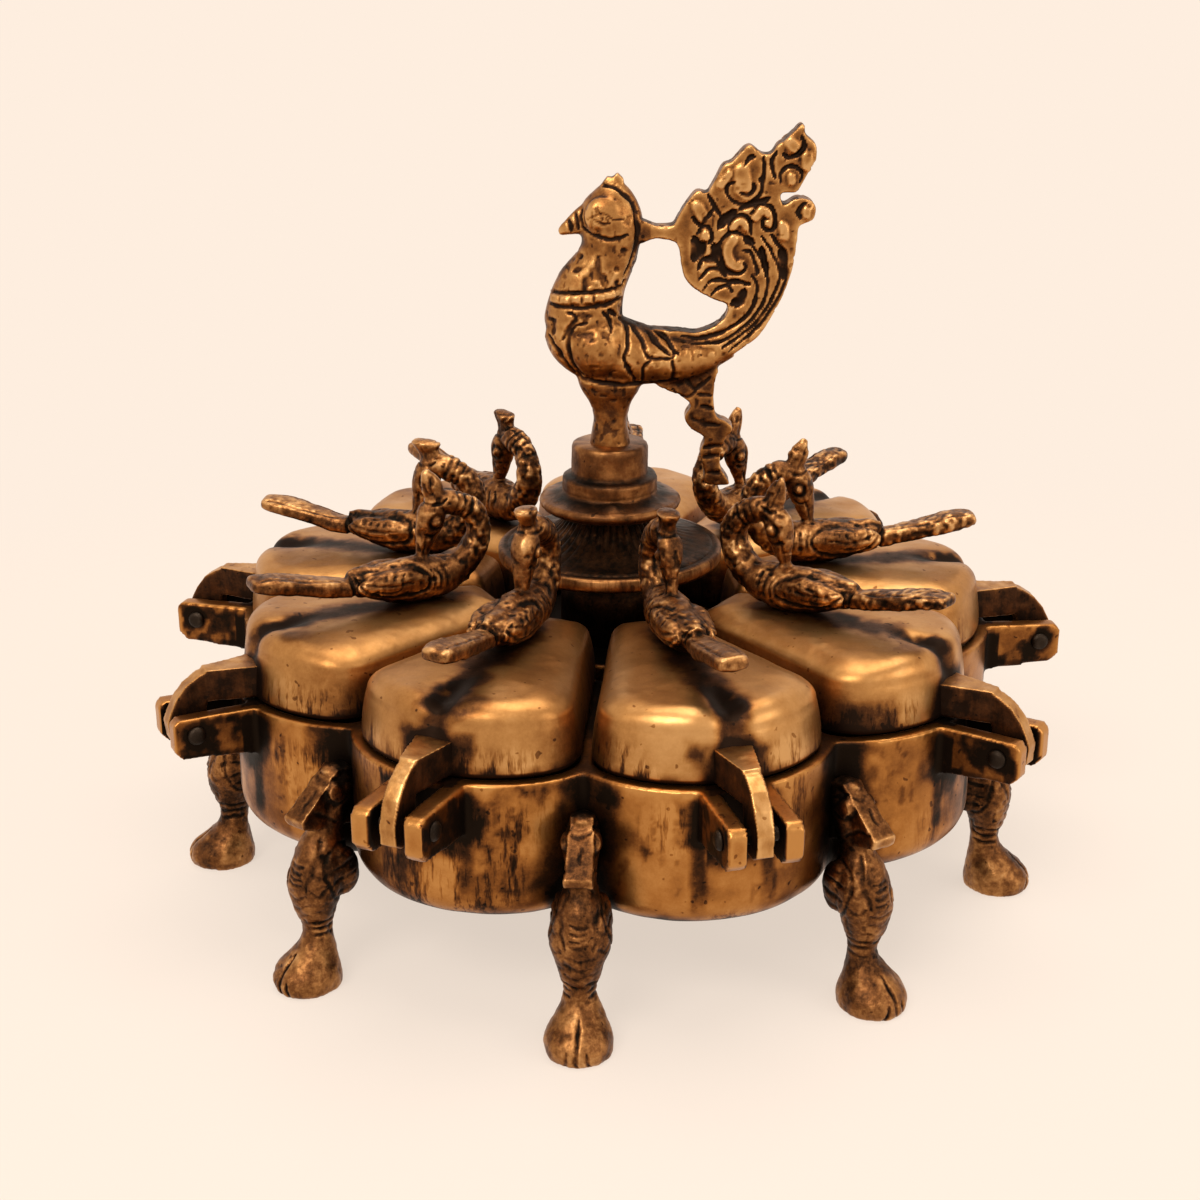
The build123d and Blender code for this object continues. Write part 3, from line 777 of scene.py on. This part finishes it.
def leg_finish(V, F, seed):
    N = normals(V, F)
    W = V + seed * 13.1
    x, y, z = V.T
    front, side = smooth(0.15, 0.6, N[:, 0]), smooth(0.3, 0.7, np.abs(N[:, 1]))
    YZ, XZ = by_hand(columns(y, z), W), by_hand(columns(x, z), W)
    bars = [[(-1.5, h + 0.2), (0.1, h), (1.6, h + 0.3)] for h in (22.4, 21.3, 20.2, 19.1)]
    sides = [[(s * 1.9, 27.0), (s * 3.0, 23.4), (s * 2.4, 18.6)] for s in (-1, 1)]
    scales = [[(-2.2, h + 0.7), (0.0, h), (2.1, h + 0.8)] for h in (16.6, 14.9, 13.2, 11.4)]
    for s in (-1, 1):
        scales += [[(s * 4.7, h + 1.3), (s * 3.9, h), (s * 3.0, h + 1.1)] for h in (23.4, 20.6, 17.6)]
    foot = paths([[0, 64, 0, -62], [15, 26, 4, -26], [-15, 26, -4, -26]])
    face = paths([[3, 346, -2, -20], [-16, 361, 16, -4, 16, 4]])
    cut = sum(carved(
        (front, YZ, bars, 0.4, 0.3), (front, YZ, sides, 0.5, 0.32),
        (smooth(-0.4, 0.2, N[:, 0]), YZ, scales, 0.36, 0.2), (front, YZ, foot, 0.42, 0.45),
        (front, YZ, face, 0.5, 0.26), (side, XZ, LEG_SIDE, 0.42, 0.34),
    ))
    cut *= 0.62 + 0.38 * noise(W, 1.7, 45)
    cut += 0.14 * smooth(0.2, 0.7, noise(W, 0.9, 2)) * (0.35 + 0.65 * smooth(20, 15, z) * smooth(7, 9, z))
    push = 0.25 * noise(W, 4.0, 3) + 0.12 * noise(W, 1.5, 4) + 0.05 * noise(W, 0.7, 5) - cut
    V = V + N * push[:, None]
    V[:, 2] = np.maximum(V[:, 2], 0.0)
    # Darker toward the column, under the tray, and on the sides and back above the hoof: painted shade.
    p = 0.53 + dirt(V, F, W, cut) + 0.2 * noise(W, 5, 6) + 0.14 * noise(W, 1.6, 7) + 0.4 * smooth(68.5, 64, x)
    p += 0.2 * (1 - front) * smooth(9, 12, z)
    p -= 0.16 * smooth(0.6, 1.0, N[:, 0]) * (z > 27) + 0.1 * smooth(9, 5, z)
    return V, p


# The column: radius and height of the flange, of the bell's middle line, and of the disc, ring and drum.
FLANGE = [
    (COLUMN_BORE, POST_TOP), (19.7, POST_TOP), (20.1, 57.9), (FLANGE_R, 58.4), (FLANGE_R, 59.8),
    (20.0, 60.15), (19.2, FLANGE_TOP), (COLUMN_BORE, FLANGE_TOP),
]
BELL = path([189, 596, -6, 9, -29, 5, -32, 10, -26, 17, -18, 21, -8, 18])
PEDESTAL = [
    (2.1, 67.4), (11.6, 67.4), (12.4, 67.9), (12.7, 68.6), (12.6, 69.1), (12.2, 69.45), (10.0, 69.9),
    (8.6, 70.4), (8.45, 70.9), (8.5, 71.2), (8.5, 72.9), (8.35, 73.3), (7.9, 73.5), (7.1, 73.7),
    (6.85, 74.1), (6.8, 78.6), (6.6, 79.15), (6.2, 79.4), (2.1, 79.4),
]


def column_shape():
    """The plain post, and the flange with the fluted bell."""
    post = disc(POST_R, RIM, POST_TOP, COLUMN_BORE)
    t = np.linspace(0, 2 * math.pi, 720, endpoint=False)
    flute = np.abs(np.sin(t * FLUTES)) ** 0.7 - 0.5
    loops = []
    for r, z in curve(BELL, 5):
        out = r + FLUTE_DEPTH * (1 - abs(2 * (z - BELL_LOW) / BELL_TALL - 1) ** 6) * flute
        loops.append(columns(out * np.cos(t), out * np.sin(t), z))
    return post, merged([lathe(FLANGE), rings(loops)])


# The bird on a lid, along +X, heights above the lid: x, z, heading, half height and half width.
BIRD_BODY = [
    (50.6, 6.4, 195, 0.9, 1.0), (48.4, 5.7, 194, 2.2, 2.4), (45.4, 4.7, 191, 3.1, 3.5),
    (39.5, 4.2, 182, 4.1, 4.2), (33.0, 4.4, 172, 3.7, 3.7), (28.6, 5.2, 165, 2.5, 2.5),
]
BIRD_NECK = [
    (33.0, 3.8, 150, 2.9, 2.8), (28.4, 6.4, 128, 2.8, 2.7), (25.9, 11.0, 92, 2.4, 2.3),
    (27.3, 15.3, 50, 2.3, 2.2), (31.2, 17.3, 5, 2.4, 2.2), (34.2, 17.1, -40, 1.5, 1.4),
]
BIRD_TAIL = [
    (67.6, 7.9, 190, 0.7, 1.6), (66.8, 7.7, 190, 1.1, 2.5), (63.0, 7.1, 190, 1.4, 2.9),
    (57.0, 5.8, 192, 1.5, 2.7), (51.0, 4.6, 188, 1.4, 2.1), (47.0, 3.9, 186, 1.4, 2.0),
]
BIRD_BEAK = [
    (33.8, 19.2, -78, 1.2, 1.2), (34.6, 15.4, -76, 2.6, 2.2), (35.6, 11.8, -74, 2.1, 1.6),
    (36.4, 8.6, -72, 1.2, 1.1), (36.8, 7.0, -72, 1.1, 1.1),
]
BIRD_CREST = [
    (33.4, 17.8, 70, 1.6, 1.4), (34.2, 20.2, 68, 1.9, 1.3), (34.9, 22.0, 66, 1.4, 1.0),
    (35.5, 23.5, 66, 0.5, 0.5),
]
WING = path([498, 70, -32, 6, -40, 1, -40, -5, -20, -16, 8, -22, 36, -10, 42, 6, 32, 18, 14, 22])
# The numbers of the birds with a square knob instead of a leaf on the head, and with a stippled tail.
BLUNT_CRESTS = (1, 5, 6, 7, 9)
ROUGH_TAILS = (2, 3, 4, 5)


def bird_shape():
    parts = [tube(t, 28) for t in (BIRD_BODY, BIRD_NECK, BIRD_BEAK, BIRD_CREST)]
    parts.append(tube(BIRD_TAIL, 36, 0.55))
    for side in (-1, 1):
        parts.append(ball((42.8, side * 2.9, 4.9), (6.8, 1.9, 2.5), 24))
        parts.append(ball((34.3, side * 1.6, 14.4), (1.0, 0.9, 1.0), 14))
    V, F = fuse(parts, 0.29, 2)
    V[:, 2] = np.maximum(V[:, 2], -0.35)
    return V, F


def blunted(V):
    """The same bird with a square knob instead of the leaf on its head."""
    x, y, z = V.T
    grow = 1 + 0.75 * smooth(19.6, 22.2, z) * smooth(32, 33, x)
    middle = 33.4 + 0.3 * (z - 17.8)
    height = np.where(z > 21.6, 21.6 + 0.35 * (z - 21.6), z)
    return columns(middle + (x - middle) * grow, y * grow, height)


def neck_rings():
    """Short lines across the neck, from the breast to the nape."""
    line = curve(path([284, 64, -25, 46, 14, 43, 39, 20]), 10)
    out = []
    for i in (15, 18, 22, 25, 28):
        d = line[i + 1] - line[i - 1]
        d = np.array([-d[1], d[0]]) / np.hypot(*d) * 3.0
        out.append([line[i] - d, line[i] + d * 0.3, line[i] + d])
    return out


def bird_finish(V, F, seed):
    N = normals(V, F)
    W = V + seed * 23.9
    x, y, z = V.T
    XZ = by_hand(columns(x, z), W)
    XY = by_hand(columns(x, y), W, 0.2)
    side = smooth(0.15, 0.55, np.abs(N[:, 1]))
    tail = smooth(0.2, 0.7, N[:, 2]) * (x > 50.5)
    veins = paths([[490, 64, -30, -9, -34, -4, -30, 1], [470, 44, -26, -5, -24, 1]])
    ticks = [[(44.6 - 1.6 * k, 6.8), (44.9 - 1.6 * k, 6.1)] for k in range(3)]
    bars = [[(36.2 - d, 6.9), (35.6 - d, 5.2), (36.0 - d, 3.2)] for d in (0, 1.3, 2.6)]
    scale_at = ((-1.4, 9.8), (-1.5, 12.0), (-0.6, 14.0), (0.6, 7.8), (0.2, 10.6))
    scales = [[(26.0 + dx, h), (27.0 + dx, h - 0.7), (28.0 + dx, h + 0.1)] for dx, h in scale_at]
    mouth = paths([[359, 126, 5, -22, 4, -20], [336, 126, 12, -7, 18, 5]])
    brow, leaf = paths([[322, 184, 14, -8, 24, 4]]), paths([[340, 184, 8, 20, 5, 20]])
    tail_edges = [[(66.0, s * 1.7), (62.0, s * 1.9), (56.0, s * 1.7), (52.0, s * 1.3)] for s in (-1, 1)]
    barbs = [[(x0, s * 0.7), (x0 + 0.7, s * 1.6)] for x0 in np.arange(52.5, 65.5, 1.2) for s in (-1, 1)]
    tail_root = paths([[514, 90, -12, -30, -8, -40]])
    eye = np.hypot(x - 34.3, z - 14.4)
    across = neck_rings()
    cut = np.maximum.reduce(carved(
        (side, XZ, [WING], 0.46, 0.46), (side, XZ, veins + ticks, 0.34, 0.26), (side, XZ, bars, 0.38, 0.34),
        (1, XZ, across[:2], 0.3, 0.1), (1, XZ, across[2:], 0.36, 0.3), (side, XZ, scales, 0.3, 0.16),
        (side, XZ, mouth, 0.34, 0.3), (1, XZ, brow, 0.4, 0.36), (side, XZ, leaf, 0.3, 0.2),
        (tail, XY, tail_edges, 0.42, 0.3), (tail, XY, barbs, 0.28, 0.1), (1, XZ, tail_root, 0.5, 0.5),
    ))
    cut = np.maximum(cut, side * 0.4 * np.exp(-(((eye - 1.25) / 0.35) ** 2)))
    cut *= 0.62 + 0.38 * noise(W, 1.6, 45)
    cut += 0.18 * smooth(0.15, 0.6, noise(W, 0.9, 2)) * (x < 50)
    grain = noise(W, 0.85, 71) + 0.4 * noise(W, 0.5, 72)
    rough = 0.3 + 0.7 * np.maximum(smooth(31, 28, x), smooth(51, 53, x) * (seed in ROUGH_TAILS))
    push = 0.3 * noise(W, 5.0, 3) + 0.12 * noise(W, 1.6, 4) + 0.12 * rough * grain - cut
    V = V + N * push[:, None]
    if seed in BLUNT_CRESTS:
        V = blunted(V)
    p = 0.52 + 1.1 * dirt(V, F, W, cut) + 0.18 * noise(W, 6, 6) + 0.12 * noise(W, 1.5, 7)
    p += rough * (0.22 * smooth(0.1, -0.4, grain) - 0.34 * smooth(0.1, 0.5, grain))
    # Darker at the foot where it meets the lid and on the underside: painted shade. Darker tail sides and a
    # lighter tail top: painted shade and a painted highlight.
    p += 0.4 * smooth(1.8, 0.0, z) + 0.25 * smooth(-0.2, -0.8, N[:, 2]) + 0.14 * (x > 50) * side - 0.16 * tail
    return V, p


# The peacock: x and height from the floor, then as for the bird. Its lines are drawn.
PEACOCK_BODY = [
    (21.0, 97.6, 198, 2.6, 2.2), (14.5, 95.0, 186, 3.9, 4.0), (8.0, 95.2, 180, 4.9, 5.0),
    (1.5, 96.2, 176, 6.2, 5.8), (-4.4, 98.4, 170, 7.0, 5.8), (-9.0, 99.8, 168, 4.8, 4.4),
    (-11.2, 100.2, 168, 1.8, 1.8),
]
PEACOCK_NECK = [
    (-4.2, 98.0, 96, 6.6, 5.2), (-4.6, 103.0, 92, 6.8, 5.4), (-3.2, 108.4, 78, 6.0, 4.8),
    (-0.4, 113.2, 76, 5.0, 4.1), (0.1, 117.6, 90, 5.4, 4.4), (0.0, 121.4, 90, 5.0, 4.0),
    (0.3, 124.2, 90, 3.0, 2.6), (0.5, 125.9, 90, 1.2, 1.2),
]
PEACOCK_BEAK = [
    (-2.6, 119.4, 192, 3.6, 3.2), (-5.4, 118.6, 196, 2.2, 1.9), (-7.6, 117.6, 200, 1.2, 1.1),
    (-8.8, 116.9, 204, 0.5, 0.5),
]
CREST = path([4, 1236, -20, 16, 10, 14, 9, -2, 9, 8, 10, -10, 2, -16])
PLUME = path([
    78, 1182, 28, 1, 8, 12, 14, 25, 19, 22, 18, -3, 5, 8, 10, 18, 13, 22, 13, 5, 25, 26, 13, -3, 13, -10,
    16, 0, 10, 15, 13, 8, 13, 14, 14, 12, 5, -6, 2, -12, 16, -13, 3, -13, -1, -16, -9, -7, -2, -12, -8, -16,
    -11, -18, -14, -1, -13, -2, 0, -11, 8, -8, 19, 12, 22, -3, 10, -10, 1, -12, -6, -13, -21, -9, -3, -16,
    -1, -23, -5, -30, -8, -33, -11, -27, -16, -30, -16, -27, -20, -20, -44, -28, -50, -22, -70, -4, -20, 72,
    60, 3, 27, -2, 26, 7, 20, 13, 10, 13, 1, 14, -7, 6, -17, 6, -20, 10, -16, 11, -14, 15, -6, 17, -3, 16,
    -4, 22, -11, 10, -28, 5, -34, -10, 0, 40,
])
HIND_LEG = path([
    50, 936, 36, -36, 36, -16, 21, -18, -11, -22, 12, -22, 24, -16, -8, -28, 8, -32, 1, -22, 15, -6, 28, 1,
    -2, 11, -14, 26, 6, 42, 16, 24, -12, 14, -18, 10, -6, 34, 4, 66, -66, 9,
])
# Height, half width and half depth.
FRONT_LEG = [
    (79.0, 3.5, 3.5), (80.2, 3.4, 3.4), (84.0, 3.0, 3.1), (87.0, 3.7, 3.5), (89.4, 5.2, 4.2),
    (92.5, 6.2, 4.6),
]
PLUME_LINES = paths([
    [259, 1166, 23, -31, 10, -30, -6, -33, -19, -40, -33, -36, -47, -27, -44, -9],
    [242, 1153, 20, -30, 9, -30, -6, -41, -22, -36, -36, -27, -47, -12, -47, 0],
    [275, 1169, 20, -24, 10, -30, -4, -33, -20, -43, -32, -40, -42, -34],
    [243, 1100, 10, -21, -5, -33, -18, -27, -33, -19, -44, -13, -30, 4],
    [239, 1159, -17, 11, -19, 0, -15, -16, 0, -20, 8, -20, 14, -12, 15, 0, 8, 10, -5, 8],
    [228, 1140, 14, -4, 9, -23, 2, -13], [203, 1170, 1, 21, 13, 11, 15, -2, 9, -14, 1, -17],
    [240, 1205, 15, 16, 16, -3, 10, -17, -1, -19, -8, -7, -10, 5, 1, 13, 10, 3],
    [214, 1259, -13, -6, -1, -15, 12, -13, 20, -3, 19, 9, 7, 16, -4, 16], [222, 1241, 13, -3, 8, 9, -3, 10],
    [290, 1306, 13, -7, 16, 5, 9, 16, -6, 17], [290, 1256, -2, 16, 12, 13, 16, -2, 10, -11, -5, -15],
    [150, 1171, 7, 11, 13, -3, 5, -15, -5, -13], [324, 1197, -4, 13, 10, 10, 11, -4],
    [150, 1108, 10, 17, 17, 1, 13, -12], [154, 1091, 13, 17, 20, 3, 13, -14],
    [160, 1071, 13, 17, 20, 3, 17, -11], [173, 1063, 14, 14, 16, 2, 10, -12], [167, 1239, 13, -26, 8, -13],
    [261, 1302, 1, -29, -3, -19, -1, -17], [280, 1311, -6, -19, 6, -29], [228, 1286, 7, 13, 9, 1],
    [137, 1201, 17, -14, 9, 10, 13, 16],
])
# Hollows and raised scrolls: the half width of each, and its line for path.
PLUME_RECESSES = [
    (0.95, [294, 1145, 5, -23, 0, -30]), (0.7, [220, 1213, 15, 7, 23, 4, 13, 7]),
    (1.5, [146, 1126, 6, 18, -6, 20]), (0.9, [160, 1124, 16, 6, 4, 20]), (1.0, [186, 1180, 12, 16, 16, 14]),
    (1.0, [232, 1164, 14, -10]), (0.7, [260, 1146, 6, -30, 3, -20]), (1.0, [212, 1046, 12, 8, 8, 18]),
    (0.6, [203, 1086, 23, 0, 16, -8]),
]
PLUME_SCROLLS = [
    (1.05, [212, 1160, -10, -16, 2, -18, 12, -12, 8, 2]), (0.95, [209, 1180, 14, 14, 12, -12]),
    (0.85, [248, 1198, 14, 13, 11, -12, -3, -13]), (1.7, [228, 1246, -4, 30]), (1.3, [150, 1216, 6, -18]),
    (1.3, [304, 1324, 8, -8]), (0.8, [306, 1269, 2, -9]), (0.8, [163, 1169, 4, -7]),
    (1.1, [296, 1182, 2, -14]), (1.0, [334, 1204, 2, 10]), (1.2, [334, 1302, 2, -16]),
    (0.9, [202, 1274, -14, -20]),
]
EYE_LINES = paths([
    [-40, 1198, 16, 7, 14, 4, 16, -11, 16, 0], [-30, 1197, 16, -6, 14, 3], [-17, 1204, 4, -7],
    [-8, 1202, 4, -6],
])
BODY_LINES = paths([
    [-25, 1252, 29, -3, 22, -11, 13, -14, 7, -25, -3, -46, -7, -26, -10, -27],
    [-50, 1179, 23, -9, 23, -5, 19, 1, 14, 6], [-63, 1212, 5, -18, 2, -19], [-74, 1196, 5, -10, 2, -14],
    [-46, 1231, -5, -23, 1, -29], [-105, 1069, 33, 4, 33, 3, 33, 2, 27, 3],
    [-110, 1048, 31, 0, 40, 1, 33, 4, 30, 8], [-40, 1023, -21, -6, -11, -20, 0, -27, 8, -24, 19, -21],
    [16, 1023, 10, -11, 4, -31, -5, -23, 12, -28, 5, -14], [33, 1016, 20, -24, 11, -28, 15, -5, 28, 0],
    [46, 1021, 20, -19, 20, -24, 18, -14], [63, 1012, 23, -15, 23, -24, -2, -16],
    [107, 956, 4, -19, -2, -20], [72, 958, -13, -17, -4, -28], [-76, 1038, 17, -7, -14, -20, -10, -20],
    [-107, 996, 13, -21, 16, -27, 16, -21], [-58, 931, 13, -13, 53, -6, 50, -2, 54, 4, 57, 13],
    [113, 969, 33, -11, 30, -4], [-14, 1040, 14, -16, 4, -18], [-2, 1042, 14, -14],
])
BEADS = path([-95, 1059, 17, 1, 18, 2, 21, 1, 20, 2, 16, 2, 14, 3])
SHIN_LINES = paths([
    [146, 840, 20, -8, 28, -2], [160, 864, 22, -4], [154, 886, 26, -2], [166, 790, 34, 0],
    [164, 772, 34, 0], [110, 896, 26, -14, 24, 24], [130, 916, 20, -20, 26, 22], [174, 744, 22, -2],
])
# The line of the nape: x at each height.
NAPE = ([104, 110, 112.7, 115.3, 119.9, 122.4], [1.5, 2.6, 3.6, 4.3, 4.6, 3.9])


def peacock_shape():
    parts = [tube(t, 36) for t in (PEACOCK_BODY, PEACOCK_NECK, PEACOCK_BEAK)]
    for outline, half in ((PLUME, 2.0), (HIND_LEG, 1.9)):
        parts.append(prism(curve(closed(outline), 3)[:-1], half))
    parts.append(prism(CREST, 1.0))
    c, s = circle(40, 0.7)
    rows = curve(FRONT_LEG, 4)
    parts.append(rings([columns(w * c, d * s, z) for z, w, d in rows]))
    for side in (-1, 1):
        parts.append(ball((-2.3, side * 3.4, 97.2), (4.9, 3.4, 5.0), 28))
        parts.append(ball((-0.9, side * 3.0, 120.2), (3.6, 1.6, 3.4), 24))
    return fuse(parts, 0.3, 2)


def peacock_finish(V, F):
    N = normals(V, F)
    x, y, z = V.T
    XZ = by_hand(columns(x, z), V, 0.2)
    side = smooth(0.25, 0.6, np.abs(N[:, 1]))
    body = (x < 12) & (z < 128) & (z > 90.5)
    flat = side * ((x > 10.5) | (z > 114.5)) * (np.abs(y) > 1.2) * (np.abs(y) < 2.6)
    raised = np.zeros(len(V))
    for wide, line in PLUME_SCROLLS:
        d = distance(XZ[:, :2], curve(path(line), 4)) / wide
        raised = np.maximum(raised, flat * np.clip(2.4 * (1 - d), 0, 1))
    neck = smooth(104.5, 106, z + 0.3 * x) * smooth(117, 115.5, z)
    neck += smooth(98, 100, z) * smooth(104.6, 103.5, z) * (x < 0)
    recesses = [(flat * (1 - raised), XZ, [path(line)], wide, 0.85) for wide, line in PLUME_RECESSES]
    cuts = carved(
        *recesses, (flat, XZ, PLUME_LINES, 0.42, 0.62), (side * body, XZ, BODY_LINES, 0.46, 0.5),
        (side * body, XZ, EYE_LINES, 0.3, 0.3), (side * (z < 92.4), XZ, SHIN_LINES, 0.42, 0.34),
    )
    cuts.append(side * body * neck * 0.3 * smooth(0.1, 0.55, noise(V, 1.1, 61)))
    cut = np.maximum.reduce(cuts) * (0.75 + 0.3 * noise(V, 1.6, 45))
    cut += 0.12 * smooth(0.45, 0.6, noise(V, 0.8, 2))
    push = 0.4 * raised
    for cx, cz in BEADS:
        d = np.maximum(np.abs(x - cx) / 0.95, np.abs(z - cz) / 0.8)
        push += body * 0.5 * np.clip(1.6 * (1 - d * d), 0, 1) * smooth(0.05, 0.4, np.abs(N[:, 1]))
    push += 0.12 * noise(V, 3.0, 4) + 0.05 * noise(V, 1.0, 5) - cut
    V = V + N * push[:, None]
    V[:, 2] = np.minimum(V[:, 2], PEACOCK_TOP)
    edge = smooth(0.6, 0.25, np.abs(N[:, 1])) * (z > 92)
    behind = smooth(0.0, 0.7, x - np.interp(z, *NAPE)) * (z > 103) * (z < 123) * (x < 7)
    back = smooth(0.2, 0.7, N[:, 2]) * (z > 97) * (z < 104) * (x > 2) * (x < 20)
    p = 0.37 + 1.15 * dirt(V, F, V, cut) - 0.16 * raised + 0.24 * behind + 0.3 * back + 0.25 * edge
    p += 0.1 * flat + 0.15 * noise(V, 4, 6) + 0.12 * noise(V, 1.3, 7) + 0.22 * smooth(93, 90, z)
    return V, p


# A rivet's half, from its head to its middle: radius, and distance from the middle of the hinge.
RIVET = [(0.2, 7.0), (0.9, 6.95), (1.4, 6.7), (1.6, 6.35), (1.6, 6.1), (1.2, 6.1), (1.2, 0.0)]


def rivet_shape():
    c, s = circle(28)
    loops = [columns(PIN_R + r * c, y, PIN_Z + r * s) for r, y in RIVET]
    return outward(rings(loops + [loop * (1, -1, 1) for loop in loops[-2::-1]]))


def pedestal_piece():
    """The turned pedestal with its dents, a lump of solder on the front, and dark corners."""
    V, F = outward(lathe(fine_profile(PEDESTAL, 0.35), 240))
    N, z = normals(V, F), V[:, 2]
    lump = np.exp(-(((V[:, 0] - 0.6) / 1.5) ** 2) - ((V[:, 1] + 9.9) / 1.4) ** 2) * (z > 68)
    push = 0.13 * noise(V, 3.6, 1) + 0.05 * noise(V, 1.2, 2) + 0.8 * lump
    V = V + N * (push * (z > 67.5) * (z < DRUM_TOP - 0.1))[:, None]
    p = 0.36 + 0.15 * lump + 0.2 * noise(V, 4) + 0.14 * noise(V, 1.5, 3)
    p += 0.5 * smooth(0.9, 0.0, np.abs(z - 73.7)) + 0.5 * smooth(0.8, 0.0, np.abs(z - 70.1))
    return V, F, p


# Pieces, each on the body that it moves with.
BODY = "box"
lid, arm, bird, leg, rivet = lid_shape(), arm_shape(), bird_shape(), leg_shape(), rivet_shape()
for k, angle in enumerate(PETAL_AT):
    n = k + 1
    on = f"lid_{n}_body"
    v, p, s = lid_finish(*lid, n)
    v2, p2 = arm_finish(*arm, n)
    V, F = merged([(v, lid[1]), (v2, arm[1])])
    p, s = np.r_[p, p2], np.r_[s, np.full(len(v2), 0.15)]
    make_object(f"Lid_{n}", (spin(V, angle), F), on, f"lid_{n}", "lid_brass", p, s)
    v, p = bird_finish(*bird, n)
    v = spin(v + (0, 0, LID_TOP), angle)
    make_object(f"Bird_{n}", (v, bird[1]), on, f"lid_bird_{n}", "bird_brass", p)
    v, p = leg_finish(*leg, n)
    make_object(f"Leg_{n}", (spin(v, VALLEYS[k]), leg[1]), BODY, f"leg_{n}", "leg_brass", p)
    v = spin(rivet[0], angle)
    p = 0.55 + 0.25 * noise(v, 1.5)
    make_object(f"Rivet_{n}", (v, rivet[1]), BODY, f"hinge_pin_{n}", "rivet_iron", p)

v, f = tray_shape()
v, p, s = tray_finish(v, f)
make_object("Tray", (v, f), BODY, "tray", "tray_brass", p, s)
v, f = peacock_shape()
v, p = peacock_finish(v, f)
make_object("Peacock", (v, f), BODY, "peacock", "bird_brass", p, look="peacock_brass")
post, bell = [outward(part) for part in column_shape()]
make_object("Post", post, BODY, "centre_post", "column_brass", 0.9)
rim_light = smooth(19.2, 20.0, np.hypot(bell[0][:, 0], bell[0][:, 1]))
make_object("Bell", bell, BODY, "fluted_bell", "column_brass", 0.86 - 0.5 * rim_light, 0.4)
v, f, p = pedestal_piece()
make_object("Pedestal", (v, f), BODY, "pedestal", "column_brass", p)

# The stud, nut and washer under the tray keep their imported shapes, and only get brass.
for name in ("stud_washer", "stud_nut", "centre_stud"):
    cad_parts[name].data.materials[0] = BRASSES["stud_brass"]


# The pale floor and background: the camera and the metal see flat cream, and the floor keeps its shadow.
CREAM = (0.992, 0.855, 0.738, 1)


def seen_factor(tree):
    """1 for what the camera, a reflection or a clear part sees, 0 for the light that the surface throws."""
    lp = node(tree, "LightPath")
    total = calc(tree, "ADD", lp.outputs["Is Camera Ray"], lp.outputs["Is Glossy Ray"])
    return calc(tree, "ADD", total, lp.outputs["Is Transmission Ray"], clamp=True)


def mixed(tree, factor, first, second):
    mix = node(tree, "MixShader")
    for socket, value in zip(mix.inputs, (factor, first, second)):
        link(tree, value, socket)
    return mix.outputs[0]


world = bpy.data.worlds.new("studio")
bpy.context.scene.world = world
world.use_nodes = True
tree = world.node_tree
plain = tree.nodes["Background"]
plain.inputs["Color"].default_value = (1.0, 0.93, 0.86, 1)
plain.inputs["Strength"].default_value = 0.55
cream = node(tree, "Background", Color=CREAM, Strength=1.0)
both = mixed(tree, seen_factor(tree), plain.outputs[0], cream.outputs[0])
link(tree, both, tree.nodes["World Output"].inputs["Surface"])

# The floor is clear beyond FADE_TO metres from the middle, where only the background is seen.
FADE_FROM, FADE_TO = 0.13, 0.3
floor_mat, tree, shade = new_material("floor")
shade.inputs["Base Color"].default_value = (0.9, 0.78, 0.68, 1)
shade.inputs["Roughness"].default_value = 0.95
shade.inputs["Specular IOR Level"].default_value = 0.0
glow = node(tree, "Emission", Color=CREAM, Strength=1.0)
seen = seen_factor(tree)
pale = mixed(tree, calc(tree, "MULTIPLY", seen, 0.7), shade.outputs[0], glow.outputs[0])
length = node(tree, "VectorMath")
length.operation = "LENGTH"
link(tree, node(tree, "TexCoord").outputs["Object"], length.inputs[0])
fade = node(tree, "MapRange", Value=length.outputs["Value"], From_Min=FADE_FROM, From_Max=FADE_TO)
fade.interpolation_type = "SMOOTHSTEP"
clear = node(tree, "BsdfTransparent")
both = mixed(tree, calc(tree, "MULTIPLY", fade.outputs[0], seen), pale, clear.outputs[0])
link(tree, both, tree.nodes["Material Output"].inputs["Surface"])
floor = raw_object("Floor", [(-6, -3, 0), (6, -3, 0), (6, 9, 0), (-6, 9, 0)], [(0, 1, 2, 3)])
floor.data.materials.append(floor_mat)


def lamp(name, place, size, power):
    """A warm area lamp that aims at the middle of the box."""
    data = bpy.data.lights.new(name, "AREA")
    data.shape, data.size, data.size_y = "RECTANGLE", size[0], size[1]
    data.energy, data.color = power, (1, 0.97, 0.93)
    obj = placed(name, data)
    obj.location = place
    obj.rotation_euler = (Vector((0, 0, 0.05)) - Vector(place)).to_track_quat("-Z", "Y").to_euler()


lamp("Key", (-0.35, -0.75, 0.85), (0.55, 0.4), 5.6)
lamp("Top", (0.1, 0.1, 0.95), (0.7, 0.7), 4.6)
lamp("Fill", (0.8, -0.5, 0.4), (0.4, 0.5), 1.6)

# The camera that the photograph was fitted with.
camera = bpy.data.cameras.new("Camera")
camera.lens = 61.9
camera.sensor_width = 36
view = placed("Camera", camera)
view.location = (-0.0018, -0.3557, 0.1824)
view.rotation_euler = (math.pi / 2 - math.radians(20.537), 0, 0)
bpy.context.scene.camera = view
bpy.context.scene.view_settings.view_transform = "Standard"
